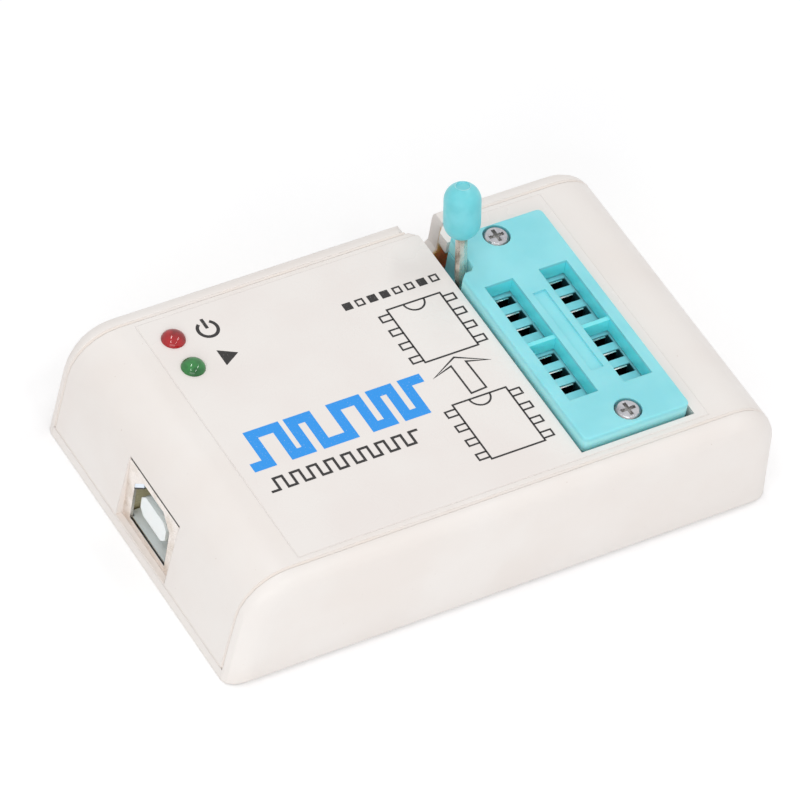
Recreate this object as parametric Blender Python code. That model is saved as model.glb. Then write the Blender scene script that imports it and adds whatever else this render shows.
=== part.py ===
"""A USB chip programmer: a two-part plastic case with a lever test socket in its top.

Lengths are in metres. +X runs along the case, with the USB port at its -X end. +Y runs to the
back, where the socket's lever goes down. The origin is the middle of the case's underside.
"""

import math

import bmesh
import bpy
from mathutils import Vector

# Clearances
SEAM = 0.0003
HOLE_CLEARANCE = 0.0003
CLOSE_CLEARANCE = 0.0002
KNOB_CLEARANCE = 0.00035
LABEL_GAP = 0.0001

# Case
CASE_LENGTH = 0.0754
FLOOR = 0.0014
FLOOR_INSET = 0.00003
END_TAPER = math.radians(4.8)
CORNER_RADIUS = 0.0062
END_WALL = 0.0018
TOP_WALL = 0.0018
PLATE = 0.00225
PLATE_FILLET = 0.0020
PLATE_END_ROUND = 0.0034
PLATE_FOOT_ROUND = 0.0008
SEAM_CHAMFER = 0.0001
LAP_WALL = 0.0007
LAP_WIDTH = 0.0009
LAP_STEP = 0.0001
RIDGE_WIDTH = 0.0008
RIDGE_HEIGHT = 0.0018
FRONT_STRIP = 0.0020
BACK_STRIP = 0.0039
HEADROOM = 0.0031

# Case screws and the posts that they go into
POST_RADIUS = 0.0024
POST_FROM_END = 0.0061
POST_FROM_SIDE = 0.0038
PAD_RADIUS = 0.0030
PAD_HEIGHT = 0.0010
SCREW_RADIUS = 0.00085
SCREW_LENGTH = 0.0075
SCREW_HEAD_RADIUS = 0.0017
SCREW_HEAD_HEIGHT = 0.0009
SCREW_SINK = 0.0002

# Label and lamps
LABEL_THICKNESS = 0.00025
LABEL_STAND = 0.00005
LABEL_FRONT_MARGIN = 0.0008
LABEL_LEFT_MARGIN = 0.0091
LABEL_RIGHT_MARGIN = 0.0101
LED_RADIUS = 0.0015
LED_FLANGE = 0.0019
LED_FLANGE_HEIGHT = 0.0010
LED_LENGTH = 0.0052
LED_DOME = 0.0009
LED_STAND = 0.0009
LED_FROM_END = 0.0122
LED_FROM_BACK = 0.0043
LED_PITCH = 0.0049
LED_LEAD_PITCH = 0.00254
LED_LEAD = 0.0005

# Circuit board
BOARD_THICKNESS = 0.0010
BOARD_MARGIN = 0.0007
BOARD_END_MARGIN = 0.0018
BOARD_NOTCH_MARGIN = 0.0006

# USB port
USB_WIDTH = 0.0116
USB_HEIGHT = 0.0096
USB_DEPTH = 0.0158
USB_SHEET = 0.0004
USB_FROM_MIDDLE = 0.0007
USB_FACE_RECESS = 0.0010
USB_MOUTH_WIDTH = 0.00845
USB_MOUTH_HEIGHT = 0.00778
USB_MOUTH_SILL = 0.0009
USB_MOUTH_CHAMFER = 0.0018
USB_BACK_BLOCK = 0.0060
USB_TONGUE_WIDTH = 0.0059
USB_TONGUE_HEIGHT = 0.0032
USB_TONGUE_RECESS = 0.0004
USB_TONGUE_CHAMFER = 0.0008
USB_CONTACT_WIDTH = 0.0010
USB_CONTACT_THICKNESS = 0.0002
USB_CONTACT_LENGTH = 0.0066
USB_CONTACT_PITCH = 0.0025
USB_CONTACT_STAND = 0.0001

# Test socket
ZIF_LENGTH = 0.0350
ZIF_WIDTH = 0.0148
ZIF_HEIGHT = 0.0085
ZIF_PROUD = 0.0015
ZIF_FROM_END = 0.01945
ZIF_CLEARANCE = 0.0005
ZIF_CORNER = 0.0007
ZIF_COVER = 0.0023
ZIF_COVER_FILLET = 0.0002
ZIF_FLOOR = 0.0009
PIN_PITCH = 0.00254
PINS_IN_ROW = 8
ROW_SPACING = 0.00762
PIN_FIELD_FROM_FRONT = 0.0162
WINDOW_SIDE_WALL = 0.00159
WINDOW_END_MARGIN = 0.00111
WINDOW_BAR = 0.0006
WINDOW_BAR_DROP = 0.0004
FRAME_WIDTH = 0.0018
FRAME_LENGTH = 0.0137
FRAME_DEPTH = 0.0003
SLOT_SET_IN = 0.00005
SLOT_WIDTH = 0.00138
SLIDER_THICKNESS = 0.0016
SLIDER_MARGIN = 0.0018
SLIDER_SIDE_WALL = 0.0011
SLIDER_TRAVEL = 0.0005
CONTACT_LEFT_GAP = 0.0002
CONTACT_RIGHT_GAP = 0.0005
CONTACT_THICKNESS = 0.0002
CONTACT_BACK_GAP = 0.0001
CONTACT_SINK = 0.0001
RISER_WIDTH = 0.0025
ZIF_SCREW_FROM_BACK = 0.0019
ZIF_SCREW_FROM_FRONT = 0.0023
ZIF_SCREW_HEAD_RADIUS = 0.00155
ZIF_SCREW_HEAD_HEIGHT = 0.0009
ZIF_SCREW_RADIUS = 0.0008
ZIF_SCREW_LENGTH = 0.0050
CROSS_LENGTH = 0.0020
CROSS_WIDTH = 0.0005
CROSS_DEPTH = 0.0004

# Lever
LEVER_DIAMETER = 0.0015
LEVER_LEAN = math.radians(12.8)
LEVER_BEND = 0.0014
LEVER_SHAFT = 0.0120
LEVER_FROM_LEFT = 0.00105
LEVER_FROM_BACK = 0.0053
LEVER_FROM_TOP = 0.0052
LEVER_NOTCH_CHAMFER = 0.0005
KNOB_DIAMETER = 0.0046
KNOB_LENGTH = 0.0077
KNOB_REACH = 0.0090
KNOB_DIMPLE_RADIUS = 0.0010
KNOB_DIMPLE_DEPTH = 0.0002
KNOB_BORE_DEPTH = 0.0048
KNOB_MOUTH = 0.0010
KNOB_NOTCH_CORNER = 0.0008

# Parts on the board
CHIP_LENGTH = 0.0128
CHIP_WIDTH = 0.0075
CHIP_HEIGHT = 0.0022
CHIP_LEAD_LENGTH = 0.0014
CHIP_LEAD_WIDTH = 0.0004
CHIP_LEAD_PITCH = 0.00127
CHIP_LEADS = 9
CRYSTAL_LENGTH = 0.0110
CRYSTAL_WIDTH = 0.0045
CRYSTAL_HEIGHT = 0.0035
CRYSTAL_CORNER = 0.0022
REGULATOR_LENGTH = 0.0065
REGULATOR_WIDTH = 0.0035
REGULATOR_HEIGHT = 0.0016
REGULATOR_TAB = 0.0017
REGULATOR_TAB_WIDTH = 0.0030
REGULATOR_TAB_HEIGHT = 0.0005
CAPACITOR_RADIUS = 0.0020
CAPACITOR_HEIGHT = 0.0055
CAPACITOR_GROOVE = 0.0003
PART_SPACING = 0.0020

# How finely round shapes are divided
ARC_STEPS = 6
FILLET_STEPS = 4
ROUND_SIDES = 20
KNOB_SIDES = 28
LEVER_RESOLUTION = 2
SMOOTH_BELOW = math.radians(32)

# Heights worked out from the sizes
BOARD_BOTTOM = FLOOR + SEAM
BOARD_TOP = BOARD_BOTTOM + BOARD_THICKNESS
ON_BOARD = BOARD_TOP + SEAM
USB_BOTTOM = FLOOR + SEAM
USB_TOP = USB_BOTTOM + USB_HEIGHT
CASE_HEIGHT = USB_TOP + HEADROOM + TOP_WALL
COVER_UNDERSIDE = CASE_HEIGHT - TOP_WALL
COVER_BOTTOM = FLOOR + SEAM
PAD_TOP = FLOOR + PAD_HEIGHT
LABEL_TOP = CASE_HEIGHT + LABEL_STAND
LABEL_BOTTOM = LABEL_TOP - LABEL_THICKNESS
ZIF_TOP = CASE_HEIGHT + ZIF_PROUD
ZIF_BOTTOM = ZIF_TOP - ZIF_HEIGHT
ZIF_COVER_BOTTOM = ZIF_TOP - ZIF_COVER
ZIF_BASE_TOP = ZIF_COVER_BOTTOM - SEAM
SLIDER_TOP = ZIF_BASE_TOP
SLIDER_BOTTOM = SLIDER_TOP - SLIDER_THICKNESS
POCKET_FLOOR = SLIDER_BOTTOM - SEAM
TRENCH_FLOOR = ZIF_BOTTOM + ZIF_FLOOR
LEVER_Z = ZIF_TOP - LEVER_FROM_TOP

# Places along X and Y worked out from the sizes
HALF_LENGTH = CASE_LENGTH / 2
COVER_HALF_WIDTH = (FRONT_STRIP + ZIF_LENGTH + BACK_STRIP) / 2
PLATE_INNER = COVER_HALF_WIDTH + SEAM
HALF_WIDTH = PLATE_INNER + PLATE
ZIF_X = HALF_LENGTH - ZIF_FROM_END
ZIF_LEFT = ZIF_X - ZIF_WIDTH / 2
ZIF_RIGHT = ZIF_X + ZIF_WIDTH / 2
ZIF_FRONT = FRONT_STRIP - COVER_HALF_WIDTH
ZIF_BACK = ZIF_FRONT + ZIF_LENGTH
PIN_FIELD_Y = ZIF_FRONT + PIN_FIELD_FROM_FRONT
PIN_FIELD_HALF = (PINS_IN_ROW - 1) * PIN_PITCH / 2
WINDOW_HALF = PIN_FIELD_HALF + WINDOW_END_MARGIN
LEVER_X = ZIF_LEFT + LEVER_FROM_LEFT
LEVER_Y = ZIF_BACK - LEVER_FROM_BACK
LEVER_NOTCH_RIGHT = LEVER_X + LEVER_DIAMETER / 2 + SEAM
LEVER_NOTCH_FRONT = LEVER_Y - LEVER_DIAMETER / 2 + SEAM
LEVER_PIT_FRONT = LEVER_Y - LEVER_DIAMETER / 2 - SEAM
KNOB_NOTCH_HALF = KNOB_DIAMETER / 2 + KNOB_CLEARANCE
KNOB_NOTCH_FLOOR = LEVER_Z - KNOB_DIAMETER / 2 - KNOB_CLEARANCE
CHANNEL_HALF = LEVER_DIAMETER / 2 + SEAM
SLIDER_HALF_WIDTH = ZIF_WIDTH / 2 - SLIDER_SIDE_WALL - SEAM
WINDOW_WIDTH = ZIF_WIDTH - ROW_SPACING - 2 * WINDOW_SIDE_WALL
SLOT_LENGTH = WINDOW_WIDTH - 2 * SLOT_SET_IN
CONTACT_WIDTH = SLOT_LENGTH - CONTACT_LEFT_GAP - CONTACT_RIGHT_GAP
SLIDER_FRONT = PIN_FIELD_Y - PIN_FIELD_HALF - SLOT_WIDTH / 2 - SLIDER_MARGIN
SLIDER_BACK = LEVER_Y - CHANNEL_HALF - SLIDER_TRAVEL
USB_Y = -USB_FROM_MIDDLE
LED_X = LED_FROM_END - HALF_LENGTH
LED_RED_Y = COVER_HALF_WIDTH - LED_FROM_BACK
LED_GREEN_Y = LED_RED_Y - LED_PITCH
LABEL_LEFT = LABEL_LEFT_MARGIN - HALF_LENGTH
LABEL_RIGHT = HALF_LENGTH - LABEL_RIGHT_MARGIN
LABEL_HALF_WIDTH = COVER_HALF_WIDTH - LABEL_FRONT_MARGIN
POST_X = HALF_LENGTH - POST_FROM_END
POST_Y = COVER_HALF_WIDTH - POST_FROM_SIDE
POSTS = [(sx * POST_X, sy * POST_Y) for sx in (-1, 1) for sy in (-1, 1)]
ARC_CENTRE_Z = CASE_HEIGHT - CORNER_RADIUS
ARC_CENTRE_X = HALF_LENGTH - (CORNER_RADIUS + ARC_CENTRE_Z * math.sin(END_TAPER)) / math.cos(END_TAPER)


def end_x(z, inset=0.0):
    """Distance of the tapered end face from the middle, at a height."""
    return HALF_LENGTH - z * math.tan(END_TAPER) - inset / math.cos(END_TAPER)


BOARD_HALF_LENGTH = end_x(BOARD_TOP, END_WALL) - BOARD_END_MARGIN
BOARD_HALF_WIDTH = COVER_HALF_WIDTH - BOARD_MARGIN
USB_FACE = USB_FACE_RECESS - HALF_LENGTH
USB_BACK = USB_FACE + USB_DEPTH
USB_MOUTH_BOTTOM = USB_BOTTOM + USB_MOUTH_SILL
USB_MOUTH_TOP = USB_MOUTH_BOTTOM + USB_MOUTH_HEIGHT
USB_TONGUE_Z = (USB_MOUTH_BOTTOM + USB_MOUTH_TOP) / 2
PARTS_X = (USB_BACK + ZIF_LEFT) / 2


def clear_scene():
    for obj in list(bpy.data.objects):
        bpy.data.objects.remove(obj)


def material(name, colour, roughness, metallic=0.0):
    made = bpy.data.materials.new(name)
    made.use_nodes = True
    shader = made.node_tree.nodes["Principled BSDF"]
    shader.inputs["Base Color"].default_value = (*colour, 1.0)
    shader.inputs["Roughness"].default_value = roughness
    shader.inputs["Metallic"].default_value = metallic
    return made


def add_loft(bm, rings):
    """A closed skin over rings of equally many points, with flat ends."""
    loops = [[bm.verts.new(point) for point in ring] for ring in rings]
    for first, second in zip(loops, loops[1:]):
        for i in range(len(first)):
            j = (i + 1) % len(first)
            bm.faces.new((first[i], first[j], second[j], second[i]))
    bm.faces.new(loops[0][::-1])
    bm.faces.new(loops[-1])


def add_box(bm, low, high):
    (x0, y0, z0), (x1, y1, z1) = low, high
    corners = ((x0, y0), (x1, y0), (x1, y1), (x0, y1))
    add_loft(bm, [[(x, y, z) for x, y in corners] for z in (z0, z1)])


def add_prism(bm, outline, z0, z1):
    add_loft(bm, [[(x, y, z) for x, y in outline] for z in (z0, z1)])


def add_turned(bm, profile, centre=(0.0, 0.0), sides=ROUND_SIDES):
    """A solid turned about a vertical line, from (radius, height) points that start and end on it."""
    loops = []
    for radius, z in profile:
        if radius == 0.0:
            loops.append([bm.verts.new((*centre, z))])
            continue
        turns = [2 * math.pi * i / sides for i in range(sides)]
        points = [(centre[0] + radius * math.cos(a), centre[1] + radius * math.sin(a), z) for a in turns]
        loops.append([bm.verts.new(point) for point in points])
    for first, second in zip(loops, loops[1:]):
        for i in range(sides):
            j = (i + 1) % sides
            if len(first) == 1:
                bm.faces.new((first[0], second[j], second[i]))
            elif len(second) == 1:
                bm.faces.new((first[i], first[j], second[0]))
            else:
                bm.faces.new((first[i], first[j], second[j], second[i]))


def add_cylinder(bm, centre, radius, z0, z1, sides=ROUND_SIDES):
    add_turned(bm, [(0.0, z0), (radius, z0), (radius, z1), (0.0, z1)], centre, sides)


def quarter(steps):
    """Angles of a quarter turn, in equal steps."""
    return [math.pi / 2 * i / steps for i in range(steps + 1)]


def rounded_rectangle(x0, x1, y0, y1, radius, steps=3):
    corners = ((x1, y0, -1), (x1, y1, 0), (x0, y1, 1), (x0, y0, 2))
    points = []
    for x, y, turn in corners:
        centre_x = x - radius if x == x1 else x + radius
        centre_y = y - radius if y == y1 else y + radius
        for a in quarter(steps):
            angle = a + turn * math.pi / 2
            points.append((centre_x + radius * math.cos(angle), centre_y + radius * math.sin(angle)))
    return points


def inset_outline(outline, distance):
    """A counter-clockwise outline drawn in by a distance, with its corners kept."""
    result = []
    count = len(outline)
    for i in range(count):
        before, here, after = (Vector(outline[(i + k) % count]) for k in (-1, 0, 1))
        first = (here - before).normalized()
        second = (after - here).normalized()
        normal_a = Vector((-first.y, first.x))
        normal_b = Vector((-second.y, second.x))
        mitre = (normal_a + normal_b) / (1 + normal_a.dot(normal_b))
        result.append(tuple(here + mitre * distance))
    return result


def mesh_of(name, bm):
    bmesh.ops.recalc_face_normals(bm, faces=bm.faces)
    mesh = bpy.data.meshes.new(name)
    bm.to_mesh(mesh)
    bm.free()
    return mesh


def make(name, bm, finish):
    """An object of the case from a finished shape, shaded smooth except at its edges."""
    mesh = mesh_of(name, bm)
    mesh.shade_smooth()
    mesh.set_sharp_from_angle(angle=SMOOTH_BELOW)
    mesh.materials.append(finish)
    obj = bpy.data.objects.new(name, mesh)
    bpy.context.scene.collection.objects.link(obj)
    return obj


def combine(target, bm, operation):
    """Joins a helper shape to an object, or cuts it out."""
    label = f"{target.name}_{operation.lower()}_{len(target.modifiers)}"
    helper = bpy.data.objects.new(label, mesh_of(label, bm))
    helper.hide_render = True
    helper.display_type = "WIRE"
    bpy.context.scene.collection.objects.link(helper)
    modifier = target.modifiers.new(label, "BOOLEAN")
    modifier.operation = operation
    modifier.object = helper


def case_profile(inset, bottom, end_inset=None):
    """The case seen from the front as (x, z) points, drawn in at its top and, if told, more at its ends."""
    end_inset = inset if end_inset is None else end_inset
    wide, tall = CORNER_RADIUS - end_inset, CORNER_RADIUS - inset
    spread = math.pi / 2 - END_TAPER
    right = [(end_x(bottom, end_inset), bottom)]
    for i in range(ARC_STEPS + 1):
        angle = END_TAPER + spread * i / ARC_STEPS
        right.append((ARC_CENTRE_X + wide * math.cos(angle), ARC_CENTRE_Z + tall * math.sin(angle)))
    return right + [(-x, z) for x, z in reversed(right)]


def side_plate(bm, side):
    """The front (-1) or back (1) plate, with a round outer edge and a small chamfer at the seam."""
    rings = []
    chamfered = case_profile(SEAM_CHAMFER, 0.0)
    rings.append([(x, side * PLATE_INNER, z) for x, z in chamfered])
    rings.append([(x, side * (PLATE_INNER + SEAM_CHAMFER), z) for x, z in case_profile(0.0, 0.0)])
    for angle in quarter(FILLET_STEPS):
        y = side * (HALF_WIDTH - PLATE_FILLET * (1 - math.sin(angle)))
        drawn_in = 1 - math.cos(angle)
        drops = [size * drawn_in for size in (PLATE_FILLET, PLATE_FOOT_ROUND, PLATE_END_ROUND)]
        outline = case_profile(*drops)
        rings.append([(x, y, z) for x, z in outline])
    add_loft(bm, rings)


def side_lip(bm, side):
    """The lip inside a side plate that the cover's thin edge laps over."""
    outer = case_profile(LAP_WALL + SEAM, FLOOR / 2)
    inner = case_profile(END_WALL, FLOOR / 2)
    outline = outer + inner[::-1]
    near, far = PLATE_INNER - LAP_WIDTH + SEAM, PLATE_INNER + PLATE / 3
    add_loft(bm, [[(x, side * y, z) for x, z in outline] for y in (near, far)])


def screw_profile(radius, length, head_radius, head_height, low, up):
    """Half outline of a screw, with its head's face at low and its tip towards up (1) or down (-1)."""
    edge = head_height / 4
    points = [(0.0, 0.0), (head_radius - edge, 0.0), (head_radius, edge), (head_radius, head_height)]
    points += [(radius, head_height), (radius, length - radius), (radius / 3, length), (0.0, length)]
    return [(r, low + up * z) for r, z in points]


def add_cross(bm, centre, low, high):
    """The two arms of a cross recess as one plus-shaped prism."""
    a, b = CROSS_WIDTH / 2, CROSS_LENGTH / 2
    outline = [(b, -a), (b, a), (a, a), (a, b), (-a, b), (-a, a)]
    outline += [(-b, a), (-b, -a), (-a, -a), (-a, -b), (a, -b), (a, -a)]
    add_prism(bm, [(centre[0] + x, centre[1] + y) for x, y in outline], low, high)


def bottom_shell(finish):
    front = bmesh.new()
    side_plate(front, -1)
    shell = make("bottom_shell", front, finish)
    back = bmesh.new()
    side_plate(back, 1)
    combine(shell, back, "UNION")
    floor = bmesh.new()
    floor_y = PLATE_INNER + PLATE - PLATE_FILLET + SEAM_CHAMFER
    rings = []
    for z in (0.0, FLOOR):
        x = end_x(z) - FLOOR_INSET
        rings.append([(x, -floor_y, z), (x, floor_y, z), (-x, floor_y, z), (-x, -floor_y, z)])
    add_loft(floor, rings)
    combine(shell, floor, "UNION")
    for side in (-1, 1):
        lip = bmesh.new()
        side_lip(lip, side)
        combine(shell, lip, "UNION")
    raised = bmesh.new()
    for post in POSTS:
        add_cylinder(raised, post, PAD_RADIUS, FLOOR / 2, PAD_TOP)
    combine(shell, raised, "UNION")
    ridges = bmesh.new()
    outer = end_x(FLOOR, END_WALL) - SEAM
    port = USB_WIDTH / 2 + HOLE_CLEARANCE
    for side, y0, y1 in ((1, -POST_Y, POST_Y), (-1, -POST_Y, USB_Y - port), (-1, USB_Y + port, POST_Y)):
        x0, x1 = sorted((side * outer, side * (outer - RIDGE_WIDTH)))
        add_box(ridges, (x0, y0, FLOOR / 2), (x1, y1, FLOOR + RIDGE_HEIGHT))
    combine(shell, ridges, "UNION")
    holes = bmesh.new()
    for post in POSTS:
        wide = SCREW_HEAD_RADIUS + HOLE_CLEARANCE
        narrow = SCREW_RADIUS + HOLE_CLEARANCE
        step = SCREW_SINK + SCREW_HEAD_HEIGHT + SEAM
        profile = [(0.0, -FLOOR), (wide, -FLOOR), (wide, step), (narrow, step)]
        add_turned(holes, profile + [(narrow, PAD_TOP + FLOOR), (0.0, PAD_TOP + FLOOR)], post)
    combine(shell, holes, "DIFFERENCE")
    notch = bmesh.new()
    half, corner, top = KNOB_NOTCH_HALF, KNOB_NOTCH_CORNER, CASE_HEIGHT + TOP_WALL
    right = [(half - corner, KNOB_NOTCH_FLOOR), (half, KNOB_NOTCH_FLOOR + corner)]
    right += [(half, CASE_HEIGHT - corner), (half + corner + TOP_WALL, top)]
    outline = right + [(-x, z) for x, z in reversed(right)]
    inside, outside = COVER_HALF_WIDTH - 2 * LAP_WIDTH, HALF_WIDTH + PLATE
    add_loft(notch, [[(LEVER_X + x, y, z) for x, z in outline] for y in (inside, outside)])
    combine(shell, notch, "DIFFERENCE")


def socket_opening(bm, bottom, top):
    """The hole for the test socket, joined to the lever's slot, which widens for the knob at the back."""
    left, right = ZIF_LEFT - ZIF_CLEARANCE, ZIF_RIGHT + ZIF_CLEARANCE
    front, back = ZIF_FRONT - ZIF_CLEARANCE, ZIF_BACK + ZIF_CLEARANCE
    end, beyond = COVER_HALF_WIDTH, COVER_HALF_WIDTH + PLATE
    wide_left, wide_right = LEVER_X - KNOB_NOTCH_HALF, LEVER_X + KNOB_NOTCH_HALF
    outline = [(left, front), (right, front), (right, back), (LEVER_NOTCH_RIGHT, back)]
    outline += [(LEVER_NOTCH_RIGHT, end - wide_right + LEVER_NOTCH_RIGHT)]
    outline += [(wide_right, end), (wide_right, beyond)]
    outline += [(wide_left, beyond), (wide_left, end), (left, end - KNOB_MOUTH)]
    add_prism(bm, outline, bottom, top)


def top_shell(finish):
    thin = case_profile(LAP_WALL, COVER_BOTTOM)
    full = [(x, min(z, COVER_UNDERSIDE)) for x, z in case_profile(END_WALL, COVER_BOTTOM)]
    sharp, chamfered = case_profile(0.0, COVER_BOTTOM), case_profile(SEAM_CHAMFER, COVER_BOTTOM)
    step = COVER_HALF_WIDTH - LAP_WIDTH
    half = [(COVER_HALF_WIDTH, chamfered, thin), (COVER_HALF_WIDTH - SEAM_CHAMFER, sharp, thin)]
    half += [(step, sharp, thin), (step - LAP_STEP, sharp, full)]
    rings = []
    for side, sections in ((-1, half), (1, half[::-1])):
        for y, outer, inner in sections:
            rings.append([(x, side * y, z) for x, z in outer + inner[::-1]])
    body = bmesh.new()
    add_loft(body, rings)
    shell = make("top_shell", body, finish)
    posts = bmesh.new()
    for post in POSTS:
        add_cylinder(posts, post, POST_RADIUS, PAD_TOP + SEAM, COVER_UNDERSIDE + TOP_WALL / 4)
    combine(shell, posts, "UNION")
    holes = bmesh.new()
    for post in POSTS:
        add_cylinder(holes, post, SCREW_RADIUS + HOLE_CLEARANCE, 0.0, SCREW_SINK + SCREW_LENGTH + SEAM)
    for y in (LED_RED_Y, LED_GREEN_Y):
        low, high = COVER_UNDERSIDE - TOP_WALL, CASE_HEIGHT + TOP_WALL
        add_cylinder(holes, (LED_X, y), LED_RADIUS + CLOSE_CLEARANCE, low, high)
    combine(shell, holes, "DIFFERENCE")
    pocket = bmesh.new()
    low = (LABEL_LEFT - LABEL_GAP, -LABEL_HALF_WIDTH - LABEL_GAP, LABEL_BOTTOM - LABEL_GAP)
    high = (LABEL_RIGHT + LABEL_GAP, LABEL_HALF_WIDTH + LABEL_GAP, CASE_HEIGHT + TOP_WALL)
    add_box(pocket, low, high)
    combine(shell, pocket, "DIFFERENCE")
    opening = bmesh.new()
    socket_opening(opening, COVER_UNDERSIDE - TOP_WALL, CASE_HEIGHT + TOP_WALL)
    combine(shell, opening, "DIFFERENCE")
    port = bmesh.new()
    half = USB_WIDTH / 2 + CLOSE_CLEARANCE
    low = (-HALF_LENGTH - END_WALL, USB_Y - half, 0.0)
    add_box(port, low, (-end_x(USB_TOP, 3 * END_WALL), USB_Y + half, USB_TOP + CLOSE_CLEARANCE))
    combine(shell, port, "DIFFERENCE")


def case_screws(finish):
    for i, post in enumerate(POSTS):
        bm = bmesh.new()
        sizes = (SCREW_RADIUS, SCREW_LENGTH, SCREW_HEAD_RADIUS, SCREW_HEAD_HEIGHT)
        add_turned(bm, screw_profile(*sizes, SCREW_SINK, 1), post)
        screw = make(f"case_screw_{i + 1}", bm, finish)
        cross = bmesh.new()
        add_cross(cross, post, -FLOOR, SCREW_SINK + CROSS_DEPTH)
        combine(screw, cross, "DIFFERENCE")


def top_label(finish):
    sheet = bmesh.new()
    low = (LABEL_LEFT, -LABEL_HALF_WIDTH, LABEL_BOTTOM)
    add_box(sheet, low, (LABEL_RIGHT, LABEL_HALF_WIDTH, LABEL_TOP))
    label = make("top_label", sheet, finish)
    opening = bmesh.new()
    socket_opening(opening, COVER_UNDERSIDE, CASE_HEIGHT + TOP_WALL)
    combine(label, opening, "DIFFERENCE")
    holes = bmesh.new()
    for y in (LED_RED_Y, LED_GREEN_Y):
        add_cylinder(holes, (LED_X, y), LED_RADIUS + CLOSE_CLEARANCE, COVER_UNDERSIDE, CASE_HEIGHT + TOP_WALL)
    combine(label, holes, "DIFFERENCE")


def lamp(name, y, finish, lead_finish):
    top = LABEL_TOP + LED_STAND
    bottom = top - LED_LENGTH
    profile = [(0.0, bottom), (LED_FLANGE, bottom), (LED_FLANGE, bottom + LED_FLANGE_HEIGHT)]
    profile += [(LED_RADIUS, bottom + LED_FLANGE_HEIGHT)]
    for angle in quarter(ARC_STEPS):
        profile.append((LED_RADIUS * math.cos(angle), top - LED_DOME * (1 - math.sin(angle))))
    profile[-1] = (0.0, top)
    lens = bmesh.new()
    add_turned(lens, profile, (LED_X, y))
    make(f"{name}_led_lens", lens, finish)
    for i, side in enumerate((-1, 1)):
        lead = bmesh.new()
        x = LED_X + side * LED_LEAD_PITCH / 2
        low = (x - LED_LEAD / 2, y - LED_LEAD / 2, ON_BOARD)
        add_box(lead, low, (x + LED_LEAD / 2, y + LED_LEAD / 2, bottom - SEAM))
        make(f"{name}_led_lead_{i + 1}", lead, lead_finish)


def main_board(finish):
    """The board, with its corners cut away round the case's posts and one end cut out for the port."""
    x, y = BOARD_HALF_LENGTH, BOARD_HALF_WIDTH
    nx = POST_X - PAD_RADIUS - BOARD_NOTCH_MARGIN
    ny = POST_Y - PAD_RADIUS - BOARD_NOTCH_MARGIN
    corner = [(x, ny), (nx, ny), (nx, y)]
    outline = corner + [(-u, v) for u, v in reversed(corner)]
    port = USB_WIDTH / 2 + SEAM
    deep = USB_BACK + SEAM
    outline += [(-x, USB_Y + port), (deep, USB_Y + port), (deep, USB_Y - port), (-x, USB_Y - port)]
    outline += [(-u, -v) for u, v in corner] + [(u, -v) for u, v in reversed(corner)]
    bm = bmesh.new()
    add_prism(bm, outline, BOARD_BOTTOM, BOARD_TOP)
    make("main_board", bm, finish)


def usb_shell(finish):
    """The folded metal box of the port, with a mouth in its face that has two cut corners."""
    half, sheet = USB_WIDTH / 2, USB_SHEET
    tube = bmesh.new()
    add_box(tube, (USB_FACE, USB_Y - half, USB_BOTTOM), (USB_BACK, USB_Y + half, USB_TOP))
    shell = make("usb_shell", tube, finish)
    inside = bmesh.new()
    low = (USB_FACE + sheet, USB_Y - half + sheet, USB_BOTTOM + sheet)
    add_box(inside, low, (USB_BACK - sheet, USB_Y + half - sheet, USB_TOP - sheet))
    combine(shell, inside, "DIFFERENCE")
    mouth = bmesh.new()
    a, c = USB_MOUTH_WIDTH / 2, USB_MOUTH_CHAMFER
    bottom, top = USB_MOUTH_BOTTOM, USB_MOUTH_TOP
    outline = [(-a, bottom), (a, bottom), (a, top - c), (a - c, top), (c - a, top), (-a, top - c)]
    front, behind = USB_FACE - sheet, USB_FACE + 2 * sheet
    add_loft(mouth, [[(x, USB_Y + y, z) for y, z in outline] for x in (front, behind)])
    combine(shell, mouth, "DIFFERENCE")


def usb_insulator(finish, contact_finish):
    """The plastic in the port: a block at the back, a floor, a roof and the tongue with its contacts."""
    gap = USB_SHEET + SEAM
    left, right = USB_Y - USB_WIDTH / 2 + gap, USB_Y + USB_WIDTH / 2 - gap
    bottom, top = USB_BOTTOM + gap, USB_TOP - gap
    front, back = USB_FACE + gap, USB_BACK - gap
    block_front = USB_BACK - USB_BACK_BLOCK
    block = bmesh.new()
    add_box(block, (block_front, left, bottom), (back, right, top))
    insulator = make("usb_insulator", block, finish)
    slabs = bmesh.new()
    add_box(slabs, (front, left, bottom), (block_front + SEAM, right, USB_MOUTH_BOTTOM))
    add_box(slabs, (front, left, USB_MOUTH_TOP), (block_front + SEAM, right, top))
    combine(insulator, slabs, "UNION")
    tongue = bmesh.new()
    a, b, c = USB_TONGUE_WIDTH / 2, USB_TONGUE_HEIGHT / 2, USB_TONGUE_CHAMFER
    section = [(-a, c - b), (c - a, -b), (a - c, -b), (a, c - b)]
    section += [(-y, -z) for y, z in section]
    ends = (USB_FACE + USB_TONGUE_RECESS, block_front + SEAM)
    add_loft(tongue, [[(x, USB_Y + y, USB_TONGUE_Z + z) for y, z in section] for x in ends])
    combine(insulator, tongue, "UNION")
    for i in range(4):
        side = 1 if i < 2 else -1
        y = USB_Y + (0.5 if i % 2 else -0.5) * USB_CONTACT_PITCH
        near = USB_TONGUE_Z + side * (b + USB_CONTACT_STAND)
        z0, z1 = sorted((near, near + side * USB_CONTACT_THICKNESS))
        strip = bmesh.new()
        low = (block_front - USB_CONTACT_STAND - USB_CONTACT_LENGTH, y - USB_CONTACT_WIDTH / 2, z0)
        add_box(strip, low, (block_front - USB_CONTACT_STAND, y + USB_CONTACT_WIDTH / 2, z1))
        make(f"usb_contact_{i + 1}", strip, contact_finish)


def pin_rows():
    return [ZIF_X + side * ROW_SPACING / 2 for side in (-1, 1)]


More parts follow.
